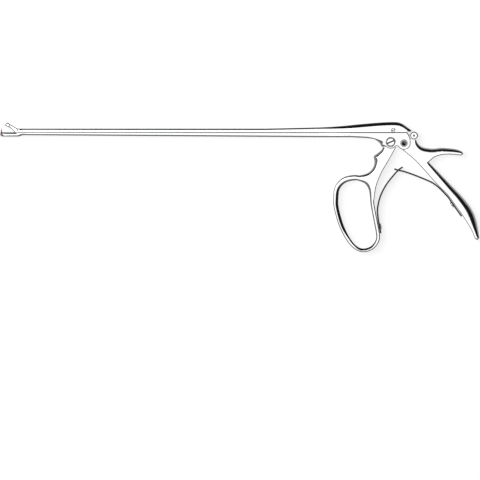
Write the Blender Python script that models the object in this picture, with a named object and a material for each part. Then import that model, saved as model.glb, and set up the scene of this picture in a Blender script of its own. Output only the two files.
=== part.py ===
import math

import bmesh
import bpy
from mathutils import Matrix, Vector
from mathutils.geometry import tessellate_polygon

# A biopsy punch that lies on its side: +X runs from the jaws to the handles,
# +Y from the handles up to the shaft, +Z out of the surface that it lies on.
# The axis of the pivot screw is X = 0, Y = 0. Sizes are in millimetres.
MM = 0.001

# Depths along Z
BODY_DEPTH = 8.0
HANDLE_DEPTH = 7.6
RING_DEPTH = 7.4
TONGUE_DEPTH = 3.0
BAR_WIDTH = 4.4
SLIDER_REAR_WIDTH = 7.0
MID_Z = BODY_DEPTH / 2

# Clearances
SLIDE_GAP = 0.06
SIDE_GAP = 0.1
BORE_GAP = 0.04
SEAT_GAP = 0.1
SWING_GAP = 0.15

# Shaft: two bars that meet on a straight parting line
SHAFT_REACH = 248.1
TIP_X = -SHAFT_REACH
PARTING_Y = 6.2
SLIDER_TOP = 8.5
HUMP_TOP = 12.7
BAR_BOTTOM_FRONT = 4.3
BAR_BOTTOM_REAR = 3.0
BAR_ROUND = 1.2
SLIDER_ROUND = 0.9
SLIDER_TAIL_SLOPE = 0.16
FLARE_START_X = -48.0
FLARE_END_X = -20.0
SHAFT_MIDDLE_X = (TIP_X + FLARE_START_X) / 2

# Basket jaw at the tip of the lower bar
BASKET_WIDTH = 5.2
BASKET_BOTTOM = 3.45
BASKET_LENGTH = 12.5
BASKET_TAPER = 2.4
BASKET_HEEL = 1.4
CAVITY_WIDTH = 2.9
CAVITY_FLOOR = 3.95
FRONT_WALL = 1.65
TOOTH_TOP = 8.7
TOOTH_WIDTH = 2.6

# Upper jaw, its pin and the pin that drives it
JAW_PIN_SETBACK = 11.4
JAW_PIN_X = TIP_X + JAW_PIN_SETBACK
JAW_PIN_Y = 4.85
JAW_PIN_RADIUS = 0.42
JAW_LUG_RADIUS = 0.8
JAW_THICKNESS = 2.6
JAW_BLADE_WIDTH = 3.4
JAW_ANGLE = 25.0
DRIVE_PIN_Y = 7.75
DRIVE_PIN_RADIUS = 0.38
NOSE_LEAD = 0.6
NOSE_X = JAW_PIN_X - NOSE_LEAD
FORK_LENGTH = 4.2
FORK_END_X = NOSE_X + FORK_LENGTH

# The drive pin stands as far behind the jaw pin at rest as ahead of it when the jaw is shut
HALF_SWING = math.radians(JAW_ANGLE / 2)
JAW_ARM = (DRIVE_PIN_Y - JAW_PIN_Y) / math.cos(HALF_SWING)
DRIVE_PIN_X = JAW_PIN_X + JAW_ARM * math.sin(HALF_SWING)
STROKE = 2 * JAW_ARM * math.sin(HALF_SWING)

# Studs that hold the slider down on the lower bar
FRONT_STUD_SETBACK = 43.1
REAR_STUD_X = -62.0
STUD_X = (TIP_X + FRONT_STUD_SETBACK, REAR_STUD_X)
STUD_NECK_RADIUS = 0.6
STUD_HEAD_RADIUS = 1.0
STUD_HEAD_THICKNESS = 0.6
STUD_LIFT = 0.75
STUD_DEPTH = 1.3

# Trigger pin across the rear of the slider
TRIGGER_PIN_X = 1.7
TRIGGER_PIN_Y = 7.5
TRIGGER_PIN_RADIUS = 1.3
TRIGGER_ANGLE = STROKE / TRIGGER_PIN_Y
TONGUE_WALL = 1.2
TONGUE_REACH = TRIGGER_PIN_RADIUS + TONGUE_WALL
TRIGGER_SLOT_ROOF = math.hypot(TRIGGER_PIN_X, TRIGGER_PIN_Y) + TONGUE_REACH + SIDE_GAP
TRIGGER_SLOT_AHEAD = 1.9
TRIGGER_SLOT_BEHIND = 1.5

# Screws
PIVOT_HEAD_RADIUS = 2.7
PIVOT_SHANK_RADIUS = 1.6
PIVOT_LUG_RADIUS = 4.2
HEAD_THICKNESS = 1.3
HEAD_RISE = 0.35
SLOT_WIDTH = 0.6
SLOT_DEPTH = 0.6
HANDLE_SCREW_X = 8.5
HANDLE_SCREW_Y = -0.7
HANDLE_SCREW_HEAD_RADIUS = 1.9
HANDLE_SCREW_RADIUS = 1.1
STOP_X = 14.8
STOP_Y = 4.1
STOP_RADIUS = 2.6
STOP_SHANK_RADIUS = 1.2
STOP_HEAD_THICKNESS = 2.2
KNURL_TEETH = 18
KNURL_DEPTH = 0.18

# Finger ring: hole, band and where its middle is
RING_X = -21.2
RING_Y = -46.0
RING_HALF_WIDTH = 12.0
RING_HALF_LENGTH = 21.6
RING_BAND = 2.4
RING_BAND_FRONT = 0.8
RING_BAND_TOP = 1.0

# Rounded rims of the forged handles: how far they reach in, and how far down
EDGE_ROUND = 1.1
RIM_RISE = 1.3

# Leaf springs
SPRING_THICKNESS = 1.0
SPRING_WIDTH = 5.0
SPRING_TONGUE_WIDTH = 2.2
SPRING_SCREW_RADIUS = 0.8
SPRING_SCREW_DEPTH = 2.4
SPRING_HEAD_RADIUS = 2.1
SPRING_HEAD_THICKNESS = 0.7
SPRING_SLOT_LENGTH = 3.4

# Hole of the finger ring, as shares of its half width and half length
RING_HOLE_SHAPE = ((-0.14, 1.0), (-0.62, 0.93), (-0.93, 0.74), (-1.0, 0.45), (-0.97, 0.18), (-0.73, -0.30),
                   (-0.38, -0.70), (-0.03, -0.93), (0.33, -1.0), (0.72, -0.93), (0.96, -0.76), (0.99, -0.58),
                   (0.86, -0.18), (0.70, 0.30), (0.63, 0.68), (0.45, 0.88), (0.17, 0.97))

# Underside of the body behind the straight bar, and the free edges of its cheeks
BODY_UNDERSIDE = ((-25.5, BAR_BOTTOM_REAR), (-15.7, 2.5), (-12.0, 2.05), (-8.6, 1.5))
CHEEK_FRONT = ((-10.6, 1.85), (-8.5, 0.55), (-6.9, -1.1), (-6.0, -2.9))
CHEEK_REAR = ((12.6, 0.6), (12.4, 2.4), (11.3, 4.7))
CHEEK_TOP_X = 10.4
CHEEK_ROUND = 0.35
CHEEK_GAP_X = (-8.0, 16.0)
CHEEK_GAP_BOTTOM = -9.0

# Upper jaw when open, measured from its pin: top edge back to the tail, lower edge out to the blade
JAW_TOP = ((-6.2, 7.55), (-5.3, 6.5), (-3.9, 5.75), (-1.2, 4.15), (0.0, 3.6))
JAW_TAIL = ((2.1, 3.5), (2.1, 2.15), (JAW_LUG_RADIUS + SIDE_GAP, 1.75))
JAW_LOWER = ((-2.0, 1.25), (-3.7, 3.2), (-5.6, 4.5), (-7.7, 5.35))
JAW_END = ((-7.7, 5.35), (-8.25, 5.85), (-8.05, 6.4))
JAW_CROWN = ((-8.05, 6.4), (-6.8, 7.4), (-6.2, 7.55))
BLADE_REAR = ((-6.22, 7.45), (-5.35, 6.45), (-4.7, 6.1))
BLADE_FRONT = ((-5.7, 4.7), (-7.65, 5.43), (-8.18, 5.9), (-7.98, 6.35))
BLADE_CROWN = ((-6.8, 7.3),)

# Limb between the pivot and the finger ring: rear edge up, front edge down to its corner, hollow below.
# A third number is the width of the rounded rim there, as on the fixed lever.
LIMB_REAR = ((-9.2, -28.4), (-6.0, -20.0), (-0.8, -10.9), (3.9, -2.4))
LIMB_FRONT = ((-5.1, -2.2), (-5.6, -4.7), (-8.1, -6.9), (-10.3, -8.4))
LIMB_CORNER = ((-10.3, -8.4, 0.8), (-10.9, -9.2, 0.6), (-10.8, -10.2, 0.8))
LIMB_HOLLOW = ((-10.8, -10.2), (-10.35, -12.6), (-11.0, -15.6), (-13.1, -18.6), (-16.5, -20.4))
LIMB_JOINS_RING = (-19.8, -37.0)

# Tongue of the ring handle between the cheeks, up to the trigger pin
TONGUE_FRONT = ((-2.6, 4.0), (-3.4, -1.4), (-3.6, -4.6))
TONGUE_REAR = ((2.6, -4.6), (3.6, -2.3), (3.6, 1.5), (4.3, 6.0))

# Fixed lever: front edge down, tip, rear edge up, notch, thumb spur, and back to the knuckle
LEVER_FRONT = ((5.4, -3.4), (16.0, -12.2), (29.0, -26.5), (36.1, -33.6), (40.0, -39.0), (45.6, -46.8),
               (51.0, -55.6), (53.3, -61.0))
LEVER_TIP = ((53.3, -61.0), (54.8, -62.2), (56.4, -61.0))
LEVER_REAR = ((56.4, -61.0, 0.9), (54.3, -49.9, 2.0), (51.0, -42.2, 2.3), (45.4, -34.9, 2.3), (39.0, -28.2, 2.2),
              (32.3, -21.2, 1.9), (24.2, -12.9, 0.9))
SPUR_UNDER = ((24.2, -12.9), (27.7, -9.8), (32.8, -8.2), (39.0, -8.0), (44.6, -8.6))
SPUR_TIP = ((44.6, -8.6), (46.0, -7.5), (45.2, -6.0))
SPUR_TOP = ((45.2, -6.0, 0.9), (41.0, -4.5, 1.4), (32.8, -3.7, 1.7), (26.4, -4.2, 1.7), (20.4, -3.3, 1.5),
            (17.2, -0.9, 0.8))
LEVER_ROUND = 0.8
TANG_INNER = ((10.2, 4.9), (6.6, 2.9), (5.3, 0.4), (5.1, -2.2), (5.4, -3.4))

# Free lengths of the leaf springs, from their screws to where they cross
FRONT_SPRING_FREE = ((-8.4, -43.5), (-7.6, -38.0), (-5.8, -32.6), (-2.8, -27.1), (0.6, -22.6))
SPRINGS_MEET = (4.8, -17.9)
FRONT_SPRING_TIP = (7.7, -15.9)
REAR_SPRING_FREE = ((27.6, -26.6), (17.3, -21.9), (9.0, -18.9))
REAR_SPRING_TIP = (2.3, -17.1)

SPLINE_STEPS = 3
ROUND_STEPS = 3


def clear_scene():
    for item in list(bpy.data.objects):
        bpy.data.objects.remove(item, do_unlink=True)


def make_material(name, colour, roughness):
    material = bpy.data.materials.new(name)
    material.use_nodes = True
    shader = material.node_tree.nodes["Principled BSDF"]
    shader.inputs["Base Color"].default_value = (*colour, 1.0)
    shader.inputs["Roughness"].default_value = roughness
    shader.inputs["Metallic"].default_value = 1.0
    return material


def arc(x, y, radius, start, end, count):
    """Points on an arc from the start to the end angle, in degrees."""
    points = []
    for index in range(count + 1):
        angle = math.radians(start + (end - start) * index / count)
        points.append((x + radius * math.cos(angle), y + radius * math.sin(angle)))
    return points


def smooth(points, closed=False, steps=SPLINE_STEPS):
    """A soft curve through the points; an open one keeps its two ends."""
    count = len(points)
    spans = count if closed else count - 1
    curve = []
    for index in range(spans):
        if closed:
            near = [Vector(points[(index + shift) % count]) for shift in (-1, 0, 1, 2)]
        else:
            near = [Vector(points[min(max(index + shift, 0), count - 1)]) for shift in (-1, 0, 1, 2)]
        for step in range(steps):
            t = step / steps
            bend = (2 * near[0] - 5 * near[1] + 4 * near[2] - near[3]) * t * t
            twist = (3 * near[1] - near[0] - 3 * near[2] + near[3]) * t ** 3
            curve.append(tuple(0.5 * (2 * near[1] + (near[2] - near[0]) * t + bend + twist)))
    if not closed:
        curve.append(tuple(points[-1]))
    return curve


def join_runs(*runs):
    """One closed outline from runs of points, with repeated points left out."""
    outline = []
    for run in runs:
        for point in run:
            if not outline or math.dist(point[:2], outline[-1][:2]) > 0.01:
                outline.append(point)
    if math.dist(outline[0][:2], outline[-1][:2]) < 0.01:
        outline.pop()
    return outline


def counter_clockwise(outline):
    total = sum(a[0] * b[1] - b[0] * a[1] for a, b in zip(outline, outline[1:] + outline[:1]))
    return outline if total > 0 else outline[::-1]


def grow(outline, distance):
    """The counter-clockwise outline moved outwards by a distance, or by one distance for each point."""
    count = len(outline)
    moved = []
    for index in range(count):
        before = Vector(outline[index - 1][:2])
        here = Vector(outline[index][:2])
        after = Vector(outline[(index + 1) % count][:2])
        first = (here - before).normalized()
        second = (after - here).normalized()
        normal = Vector((first.y + second.y, -first.x - second.x)).normalized()
        stretch = 1 / max(normal.dot(Vector((second.y, -second.x))), 0.6)
        amount = distance[index] if isinstance(distance, list) else distance
        moved.append(tuple(here + normal * amount * stretch))
    return moved


def make_object(name, points, faces, material, origin=(0.0, 0.0, 0.0)):
    mesh = bpy.data.meshes.new(name)
    base = Vector(origin)
    mesh.from_pydata([(Vector(point) - base) * MM for point in points], [], faces)
    work = bmesh.new()
    work.from_mesh(mesh)
    bmesh.ops.recalc_face_normals(work, faces=work.faces)
    work.to_mesh(mesh)
    work.free()
    if material:
        mesh.materials.append(material)
    mesh.shade_smooth()
    mesh.set_sharp_from_angle(angle=math.radians(35))
    item = bpy.data.objects.new(name, mesh)
    item.location = base * MM
    bpy.context.collection.objects.link(item)
    return item


def slab(name, outline, low, high, material=None, holes=(), edge=0.0, rise=None, origin=(0.0, 0.0, 0.0)):
    """A plate with the given outline and holes between two heights. Its rims are rounded: they reach in by
    edge, or by a point's third number, and are rise high."""
    loops = [counter_clockwise(list(outline))] + [counter_clockwise(list(hole)) for hole in holes]
    levels = [(0.0, low), (0.0, high)]
    if edge > 0:
        rise = rise or edge
        turns = [math.radians(90 * step / ROUND_STEPS) for step in range(ROUND_STEPS + 1)]
        lower = [(1 - math.sin(turn), low + rise * (1 - math.cos(turn))) for turn in turns]
        levels = lower + [(share, low + high - height) for share, height in reversed(lower)]
    points = []
    for share, height in levels:
        for rim in inner_rims(loops, edge, share):
            points += [(x, y, height) for x, y in rim]
    rims = inner_rims(loops, edge, levels[0][0])
    layer = sum(len(loop) for loop in loops)
    faces = []
    for level in range(len(levels) - 1):
        start = level * layer
        for loop in loops:
            count = len(loop)
            for index in range(count):
                a = start + index
                b = start + (index + 1) % count
                faces.append((a, b, b + layer, a + layer))
            start += count
    cap = tessellate_polygon([[Vector((x, y, 0.0)) for x, y in rim] for rim in rims])
    top = (len(levels) - 1) * layer
    faces += [tuple(corner) for corner in cap]
    faces += [tuple(top + corner for corner in face) for face in cap]
    return make_object(name, points, faces, material, origin)


def inner_rims(loops, edge, share):
    """The outline moved in and the holes moved out by a share of their rims' widths."""
    rims = []
    for number, loop in enumerate(loops):
        widths = [point[2] if len(point) == 3 else edge for point in loop]
        side = 1 if number else -1
        rims.append(grow(loop, [side * share * width for width in widths]))
    return rims


def loft(name, sections, material=None, origin=(0.0, 0.0, 0.0)):
    """A closed solid through sections that have the same number of points."""
    count = len(sections[0])
    points = [point for section in sections for point in section]
    faces = []
    for level in range(len(sections) - 1):
        start = level * count
        for index in range(count):
            after = (index + 1) % count
            faces.append((start + index, start + after, start + count + after, start + count + index))
    faces.append(tuple(range(count)))
    faces.append(tuple(range(len(points) - count, len(points))))
    return make_object(name, points, faces, material, origin)


def turned(name, profile, place, material=None, segments=24):
    """A turned solid: the profile runs from the axis at the bottom to the axis at the top."""
    points = []
    rings = []
    for radius, height in profile:
        if radius == 0:
            rings.append([len(points)])
            points.append(place @ Vector((0.0, 0.0, height)))
            continue
        rings.append(list(range(len(points), len(points) + segments)))
        for index in range(segments):
            angle = 2 * math.pi * index / segments
            points.append(place @ Vector((radius * math.cos(angle), radius * math.sin(angle), height)))
    faces = []
    for lower, upper in zip(rings, rings[1:]):
        for index in range(segments):
            after = (index + 1) % segments
            if len(lower) == 1:
                faces.append((lower[0], upper[index], upper[after]))
            elif len(upper) == 1:
                faces.append((lower[index], lower[after], upper[0]))
            else:
                faces.append((lower[index], lower[after], upper[after], upper[index]))
    return make_object(name, points, faces, material)


def rod(name, radius, low, high, place, material=None, segments=24, chamfer=0.0):
    profile = [(0, low), (radius - chamfer, low), (radius, low + chamfer)]
    profile += [(radius, high - chamfer), (radius - chamfer, high), (0, high)]
    if chamfer == 0:
        profile = [(0, low), (radius, low), (radius, high), (0, high)]
    return turned(name, profile, place, material, segments)


def block(name, x_range, y_range, z_range, place=None):
    points = [Vector((x, y, z)) for x in x_range for y in y_range for z in z_range]
    if place:
        points = [place @ point for point in points]
    faces = [(0, 1, 3, 2), (4, 5, 7, 6), (0, 1, 5, 4), (2, 3, 7, 6), (0, 2, 6, 4), (1, 3, 7, 5)]
    return make_object(name, points, faces, None)


def upright(x, y, turn=0.0):
    """A place on an axis that runs along Z."""
    return Matrix.Translation((x, y, 0.0)) @ Matrix.Rotation(math.radians(turn), 4, "Z")


def facing(point, direction):
    """A place whose own Z axis points along a direction in the XY plane, at mid depth."""
    angle = math.atan2(direction[1], direction[0])
    turn = Matrix.Rotation(angle, 4, "Z") @ Matrix.Rotation(math.pi / 2, 4, "Y")
    return Matrix.Translation((point[0], point[1], MID_Z)) @ turn


def combine(target, tool, operation="DIFFERENCE"):
    tool.hide_render = True
    tool.display_type = "WIRE"
    modifier = target.modifiers.new(tool.name, "BOOLEAN")
    modifier.operation = operation
    modifier.solver = "EXACT"
    modifier.object = tool


def centred(depth):
    return MID_Z - depth / 2, MID_Z + depth / 2


def read_curve(points, x):
    """The height at x of a curve given by points in order of x."""
    for (x0, y0), (x1, y1) in zip(points, points[1:]):
        if x <= x1:
            return y0 + (y1 - y0) * max(x - x0, 0.0) / (x1 - x0)
    return points[-1][1]


def bar_section(x, low, high, half_width, low_round, high_round):
    """A bar's section at x, with its two lower and two upper corners rounded."""
    low_round = min(low_round, half_width * 0.9, (high - low) * 0.45)
    high_round = min(high_round, half_width * 0.9, (high - low) * 0.45)
    corners = ((half_width - low_round, low + low_round, low_round, -90, 0),
               (half_width - high_round, high - high_round, high_round, 0, 90),
               (high_round - half_width, high - high_round, high_round, 90, 180),
               (low_round - half_width, low + low_round, low_round, 180, 270))
    section = []
    for z, y, radius, start, end in corners:
        section += [(x, height, MID_Z + width) for width, height in arc(z, y, radius, start, end, 3)]
    return section


def flare_width(x, narrow, wide):
    share = min(max((x - FLARE_START_X) / (FLARE_END_X - FLARE_START_X), 0.0), 1.0)
    return narrow + (wide - narrow) * share * share * (3 - 2 * share)


BAR_TOP = PARTING_Y - SLIDE_GAP / 2
SLIDER_BOTTOM = PARTING_Y + SLIDE_GAP / 2
SHARP = 0.08


def basket_sections():
    """Sections of the basket jaw, round in front both from above and from the side."""
    half = BASKET_WIDTH / 2
    sections = []
    for share in (0.04, 0.2, 0.5, 0.78, 1.0):
        from_tip = half * share
        width = math.sqrt(half ** 2 - (half - from_tip) ** 2)
        into_heel = max(BASKET_HEEL - from_tip, 0.0)
        low = BASKET_BOTTOM + BASKET_HEEL - math.sqrt(BASKET_HEEL ** 2 - into_heel ** 2)
        sections.append(bar_section(TIP_X + from_tip, low, BAR_TOP, width, 0.9, SHARP))
    heel_end = TIP_X + BASKET_LENGTH
    sections.append(bar_section(heel_end - 1.0, BASKET_BOTTOM, BAR_TOP, half, 0.9, SHARP))
    middle = (BASKET_BOTTOM + BAR_BOTTOM_FRONT) / 2
    taper_middle = heel_end + BASKET_TAPER / 3
    sections.append(bar_section(taper_middle, middle, BAR_TOP, (half + BAR_WIDTH / 2) / 2, 1.0, SHARP))
    taper_end = heel_end + BASKET_TAPER
    sections.append(bar_section(taper_end, BAR_BOTTOM_FRONT, BAR_TOP, BAR_WIDTH / 2, BAR_ROUND, SHARP))
    return sections


def make_lower_shaft(steel):
    """Fixed bar with the basket jaw in front and the two cheeks of the body at the rear."""
    bottom = ((TIP_X + BASKET_LENGTH, BAR_BOTTOM_FRONT), (FLARE_START_X, BAR_BOTTOM_REAR), *BODY_UNDERSIDE)
    flare = FLARE_END_X - FLARE_START_X
    flare_steps = [FLARE_START_X + flare * step / 4 for step in range(5)]
    sections = basket_sections()
    for x in [SHAFT_MIDDLE_X] + flare_steps + [point[0] for point in BODY_UNDERSIDE[1:]]:
        half = flare_width(x, BAR_WIDTH, BODY_DEPTH - SHARP) / 2
        sections.append(bar_section(x, read_curve(bottom, x), BAR_TOP, half, BAR_ROUND, SHARP))
    shaft = loft("lower_shaft", sections, steel)
    combine(shaft, slab("cheeks", cheek_outline(), *centred(BODY_DEPTH), edge=CHEEK_ROUND), "UNION")
    combine(shaft, tooth(), "UNION")
    low, high = centred(TONGUE_DEPTH + 2 * SIDE_GAP)
    combine(shaft, block("cheek_gap", CHEEK_GAP_X, (CHEEK_GAP_BOTTOM, PARTING_Y + 1), (low, high)))
    cut_basket(shaft)
    cut_screw_seat(shaft, "pivot_seat", 0.0, 0.0, PIVOT_HEAD_RADIUS, PIVOT_SHANK_RADIUS)
    cut_screw_seat(shaft, "handle_screw_seat", HANDLE_SCREW_X, HANDLE_SCREW_Y, HANDLE_SCREW_HEAD_RADIUS,
                   HANDLE_SCREW_RADIUS)
    cut_rod(shaft, "jaw_pin_bore", JAW_PIN_X, JAW_PIN_Y, JAW_PIN_RADIUS + BORE_GAP, segments=12)
    for number, x in enumerate(STUD_X):
        bore = rod(f"stud_bore_{number}", STUD_NECK_RADIUS + BORE_GAP, BAR_TOP - STUD_DEPTH - SEAT_GAP,
                   BAR_TOP + 1, standing(x), segments=12)
        combine(shaft, bore)
    return shaft


def cheek_outline():
    """Side view of the body, round about both of its screws."""
    about_pivot = arc(0.0, 0.0, PIVOT_LUG_RADIUS, 226, 322, 8)
    about_screw = arc(HANDLE_SCREW_X, HANDLE_SCREW_Y, PIVOT_LUG_RADIUS, 208, 345, 9)
    rear = smooth((*CHEEK_REAR, (CHEEK_TOP_X, BAR_TOP)))
    return join_runs(smooth(CHEEK_FRONT), about_pivot, about_screw, rear, [(CHEEK_FRONT[0][0], BAR_TOP)])


def tooth():
    """Upstanding point at the front of the basket."""
    base = BAR_TOP - 1.2
    half = TOOTH_WIDTH / 2
    inner = TIP_X + FRONT_WALL - 0.25
    sections = []
    for y, front, rear, width in ((base, TIP_X + 0.1, inner, half), (TOOTH_TOP, inner - 0.3, inner - 0.15, 0.12)):
        sections.append([(front, y, MID_Z - width * 0.55), (rear, y, MID_Z - width),
                         (rear, y, MID_Z + width), (front, y, MID_Z + width * 0.55)])
    return loft("tooth", sections)


def cut_basket(shaft):
    half = CAVITY_WIDTH / 2
    front = TIP_X + FRONT_WALL
    rear = JAW_PIN_X + JAW_LUG_RADIUS + 0.3
    outline = [(front + half - x, z) for x, z in arc(0.0, 0.0, half, -90, 90, 8)] + [(rear, half), (rear, -half)]
    floor = [(x, CAVITY_FLOOR, MID_Z + z) for x, z in outline]
    mouth = [(x, BAR_TOP + 1, MID_Z + z) for x, z in outline]
    combine(shaft, loft("basket_cavity", [floor, mouth]))


def cut_screw_seat(target, name, x, y, head_radius, shank_radius, head_thickness=HEAD_THICKNESS):
    """A through hole with a flat-bottomed seat for the screw's head."""
    floor = BODY_DEPTH - head_thickness - SEAT_GAP / 2
    bore = shank_radius + BORE_GAP
    seat = head_radius + 2 * BORE_GAP
    profile = [(0, -1.0), (bore, -1.0), (bore, floor), (seat, floor), (seat, BODY_DEPTH + 1), (0, BODY_DEPTH + 1)]
    combine(target, turned(name, profile, upright(x, y)))


def cut_rod(target, name, x, y, radius, low=-1.0, high=BODY_DEPTH + 1, segments=24):
    combine(target, rod(name, radius, low, high, upright(x, y), segments=segments))


def standing(x):
    """A place on an axis that runs along Y through the middle of the bars."""
    return Matrix.Translation((x, 0.0, MID_Z)) @ Matrix.Rotation(-math.pi / 2, 4, "X")


def make_slider(steel):
    """Upper bar: forked nose for the jaw, hump and slot over the ring handle's tongue at the rear."""
    top = smooth(((-80.0, SLIDER_TOP), (-45.0, SLIDER_TOP + 0.8), (-32.0, SLIDER_TOP + 1.6),
                  (-19.0, HUMP_TOP - 1.3), (-6.0, HUMP_TOP - 0.25), (3.0, HUMP_TOP), (6.9, HUMP_TOP - 0.9),
                  (10.2, HUMP_TOP - 3.0), (13.3, HUMP_TOP - 5.5)))
    sections = nose_sections()
    for x, height in [(FORK_END_X - FORK_LENGTH / 2, SLIDER_TOP), (SHAFT_MIDDLE_X, SLIDER_TOP)] + top:
        half = flare_width(x, BAR_WIDTH, SLIDER_REAR_WIDTH) / 2
        low = SLIDER_BOTTOM + max(x - CHEEK_TOP_X, 0.0) * SLIDER_TAIL_SLOPE
        sections.append(bar_section(x, low, height, half, SHARP, SLIDER_ROUND))
    slider = loft("slider", sections, steel)
    low, high = centred(JAW_THICKNESS + SIDE_GAP)
    combine(slider, block("fork_slot", (NOSE_X - 1, FORK_END_X), (PARTING_Y - 1, SLIDER_TOP + 1), (low, high)))
    low, high = centred(TONGUE_DEPTH + 2 * SIDE_GAP)
    slot_x = (TRIGGER_PIN_X - TONGUE_REACH - TRIGGER_SLOT_AHEAD, TRIGGER_PIN_X + TONGUE_REACH + TRIGGER_SLOT_BEHIND)
    combine(slider, block("tongue_slot", slot_x, (PARTING_Y - 1, TRIGGER_SLOT_ROOF), (low, high)))
    cut_rod(slider, "trigger_pin_bore", TRIGGER_PIN_X, TRIGGER_PIN_Y, TRIGGER_PIN_RADIUS + BORE_GAP)
    cut_rod(slider, "drive_pin_bore", DRIVE_PIN_X, DRIVE_PIN_Y, DRIVE_PIN_RADIUS + BORE_GAP, segments=12)
    for number, x in enumerate(STUD_X):
        cut_stud_track(slider, number, x)
    return slider


def nose_sections():
    """Sections of the slider's nose, which is a half round in side view."""
    middle = (SLIDER_BOTTOM + SLIDER_TOP) / 2
    half_height = (SLIDER_TOP - SLIDER_BOTTOM) / 2
    sections = []
    for share in (0.03, 0.15, 0.4, 0.7, 1.0):
        rise = half_height * math.sqrt(1 - (1 - share) ** 2)
        round_top = SLIDER_ROUND * share
        sections.append(bar_section(NOSE_X + half_height * share, middle - rise, middle + rise, BAR_WIDTH / 2,
                                    SHARP, max(round_top, SHARP)))
    return sections


def cut_stud_track(slider, number, x):
    """T-shaped track in the slider, as long as the stroke."""
    for part, radius, low, high in (("neck", STUD_NECK_RADIUS, -1.0, STUD_LIFT + SLIDE_GAP),
                                    ("head", STUD_HEAD_RADIUS, STUD_LIFT - SLIDE_GAP,
                                     STUD_LIFT + STUD_HEAD_THICKNESS + SIDE_GAP)):
        reach = radius + SIDE_GAP
        combine(slider, block(f"track_{part}_{number}", (x - reach, x + STROKE + reach),
                              (BAR_TOP + low, BAR_TOP + high), (MID_Z - reach, MID_Z + reach)))


def make_studs(steel):
    for number, x in enumerate(STUD_X):
        neck_top = BAR_TOP + STUD_LIFT
        profile = [(0, BAR_TOP - STUD_DEPTH), (STUD_NECK_RADIUS, BAR_TOP - STUD_DEPTH),
                   (STUD_NECK_RADIUS, neck_top), (STUD_HEAD_RADIUS, neck_top),
                   (STUD_HEAD_RADIUS, neck_top + STUD_HEAD_THICKNESS), (0, neck_top + STUD_HEAD_THICKNESS)]
        turned(("rail_stud_front", "rail_stud_rear")[number], profile, standing(x), steel, 12)


def jaw_outline():
    """Side view of the open upper jaw: tail in the fork, bent arm, and lug about its pin."""
    lug = arc(0.0, 0.0, JAW_LUG_RADIUS, 5, -160, 8)
    return about_jaw_pin(join_runs(smooth(JAW_TOP), JAW_TAIL, lug, smooth(JAW_LOWER), smooth(JAW_END),
                                   smooth(JAW_CROWN)))


def about_jaw_pin(outline):
    return [(JAW_PIN_X + x, JAW_PIN_Y + y) for x, y in outline]


def make_upper_jaw(steel):
    origin = (JAW_PIN_X, JAW_PIN_Y, MID_Z)
    jaw = slab("upper_jaw", jaw_outline(), *centred(JAW_THICKNESS), steel, edge=0.15, origin=origin)
    blade = about_jaw_pin(join_runs(smooth(BLADE_REAR), smooth(BLADE_FRONT), BLADE_CROWN))
    combine(jaw, slab("jaw_blade", blade, *centred(JAW_BLADE_WIDTH), edge=0.25), "UNION")
    cut_rod(jaw, "jaw_bore", JAW_PIN_X, JAW_PIN_Y, JAW_PIN_RADIUS + BORE_GAP, segments=12)
    track = drive_track(JAW_PIN_X, JAW_PIN_Y, DRIVE_PIN_X, DRIVE_PIN_Y, STROKE,
                        math.radians(JAW_ANGLE), DRIVE_PIN_RADIUS + BORE_GAP)
    combine(jaw, slab("drive_track", track, -1.0, BODY_DEPTH + 1))
    return jaw


def drive_track(axis_x, axis_y, pin_x, pin_y, stroke, swing, radius, steps=4):
    """Slot that a pin on the slider sweeps in a lever that turns while the pin slides forwards."""
    centres = []
    for step in range(steps + 1):
        share = step / steps
        away = Vector((pin_x - stroke * share - axis_x, pin_y - axis_y))
        away.rotate(Matrix.Rotation(-swing * share, 2))
        centres.append((axis_x + away.x, axis_y + away.y))
    top = max(centres, key=lambda point: point[1])
    low = min(centres, key=lambda point: point[1])
    along = math.degrees(math.atan2(top[1] - low[1], top[0] - low[0]))
    reach = radius + 0.5 * BORE_GAP
    return arc(*top, reach, along - 90, along + 90, 8) + arc(*low, reach, along + 90, along + 270, 8)


def ring_points(shares):
    return [(RING_X + RING_HALF_WIDTH * u, RING_Y + RING_HALF_LENGTH * v) for u, v in shares]


def ring_hole():
    return counter_clockwise(smooth(ring_points(RING_HOLE_SHAPE), closed=True))


def ring_outer(hole):
    """The band's outside: a little thicker towards the front and the top."""
    bands = []
    for x, y in hole:
        front = max((RING_X - x) / RING_HALF_WIDTH, 0.0)
        top = max((y - RING_Y) / RING_HALF_LENGTH, 0.0)
        bands.append(RING_BAND + RING_BAND_FRONT * front + RING_BAND_TOP * top ** 4)
    return grow(hole, bands)


def ring_handle_outline(hole):
    """The finger ring's outside, which runs into the limb at its upper rear."""
    band = ring_outer(hole)
    on_limb = [x > LIMB_JOINS_RING[0] and y > LIMB_JOINS_RING[1] for x, y in band]
    start = next(index for index in range(len(band)) if on_limb[index - 1] and not on_limb[index])
    band = [band[(start + index) % len(band)] for index in range(len(band) - sum(on_limb))]
    hollow = smooth((*LIMB_HOLLOW, band[0]))
    rear = smooth((band[-1], *LIMB_REAR))
    return join_runs(band, rear, smooth(LIMB_FRONT), smooth(LIMB_CORNER), hollow)


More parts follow.
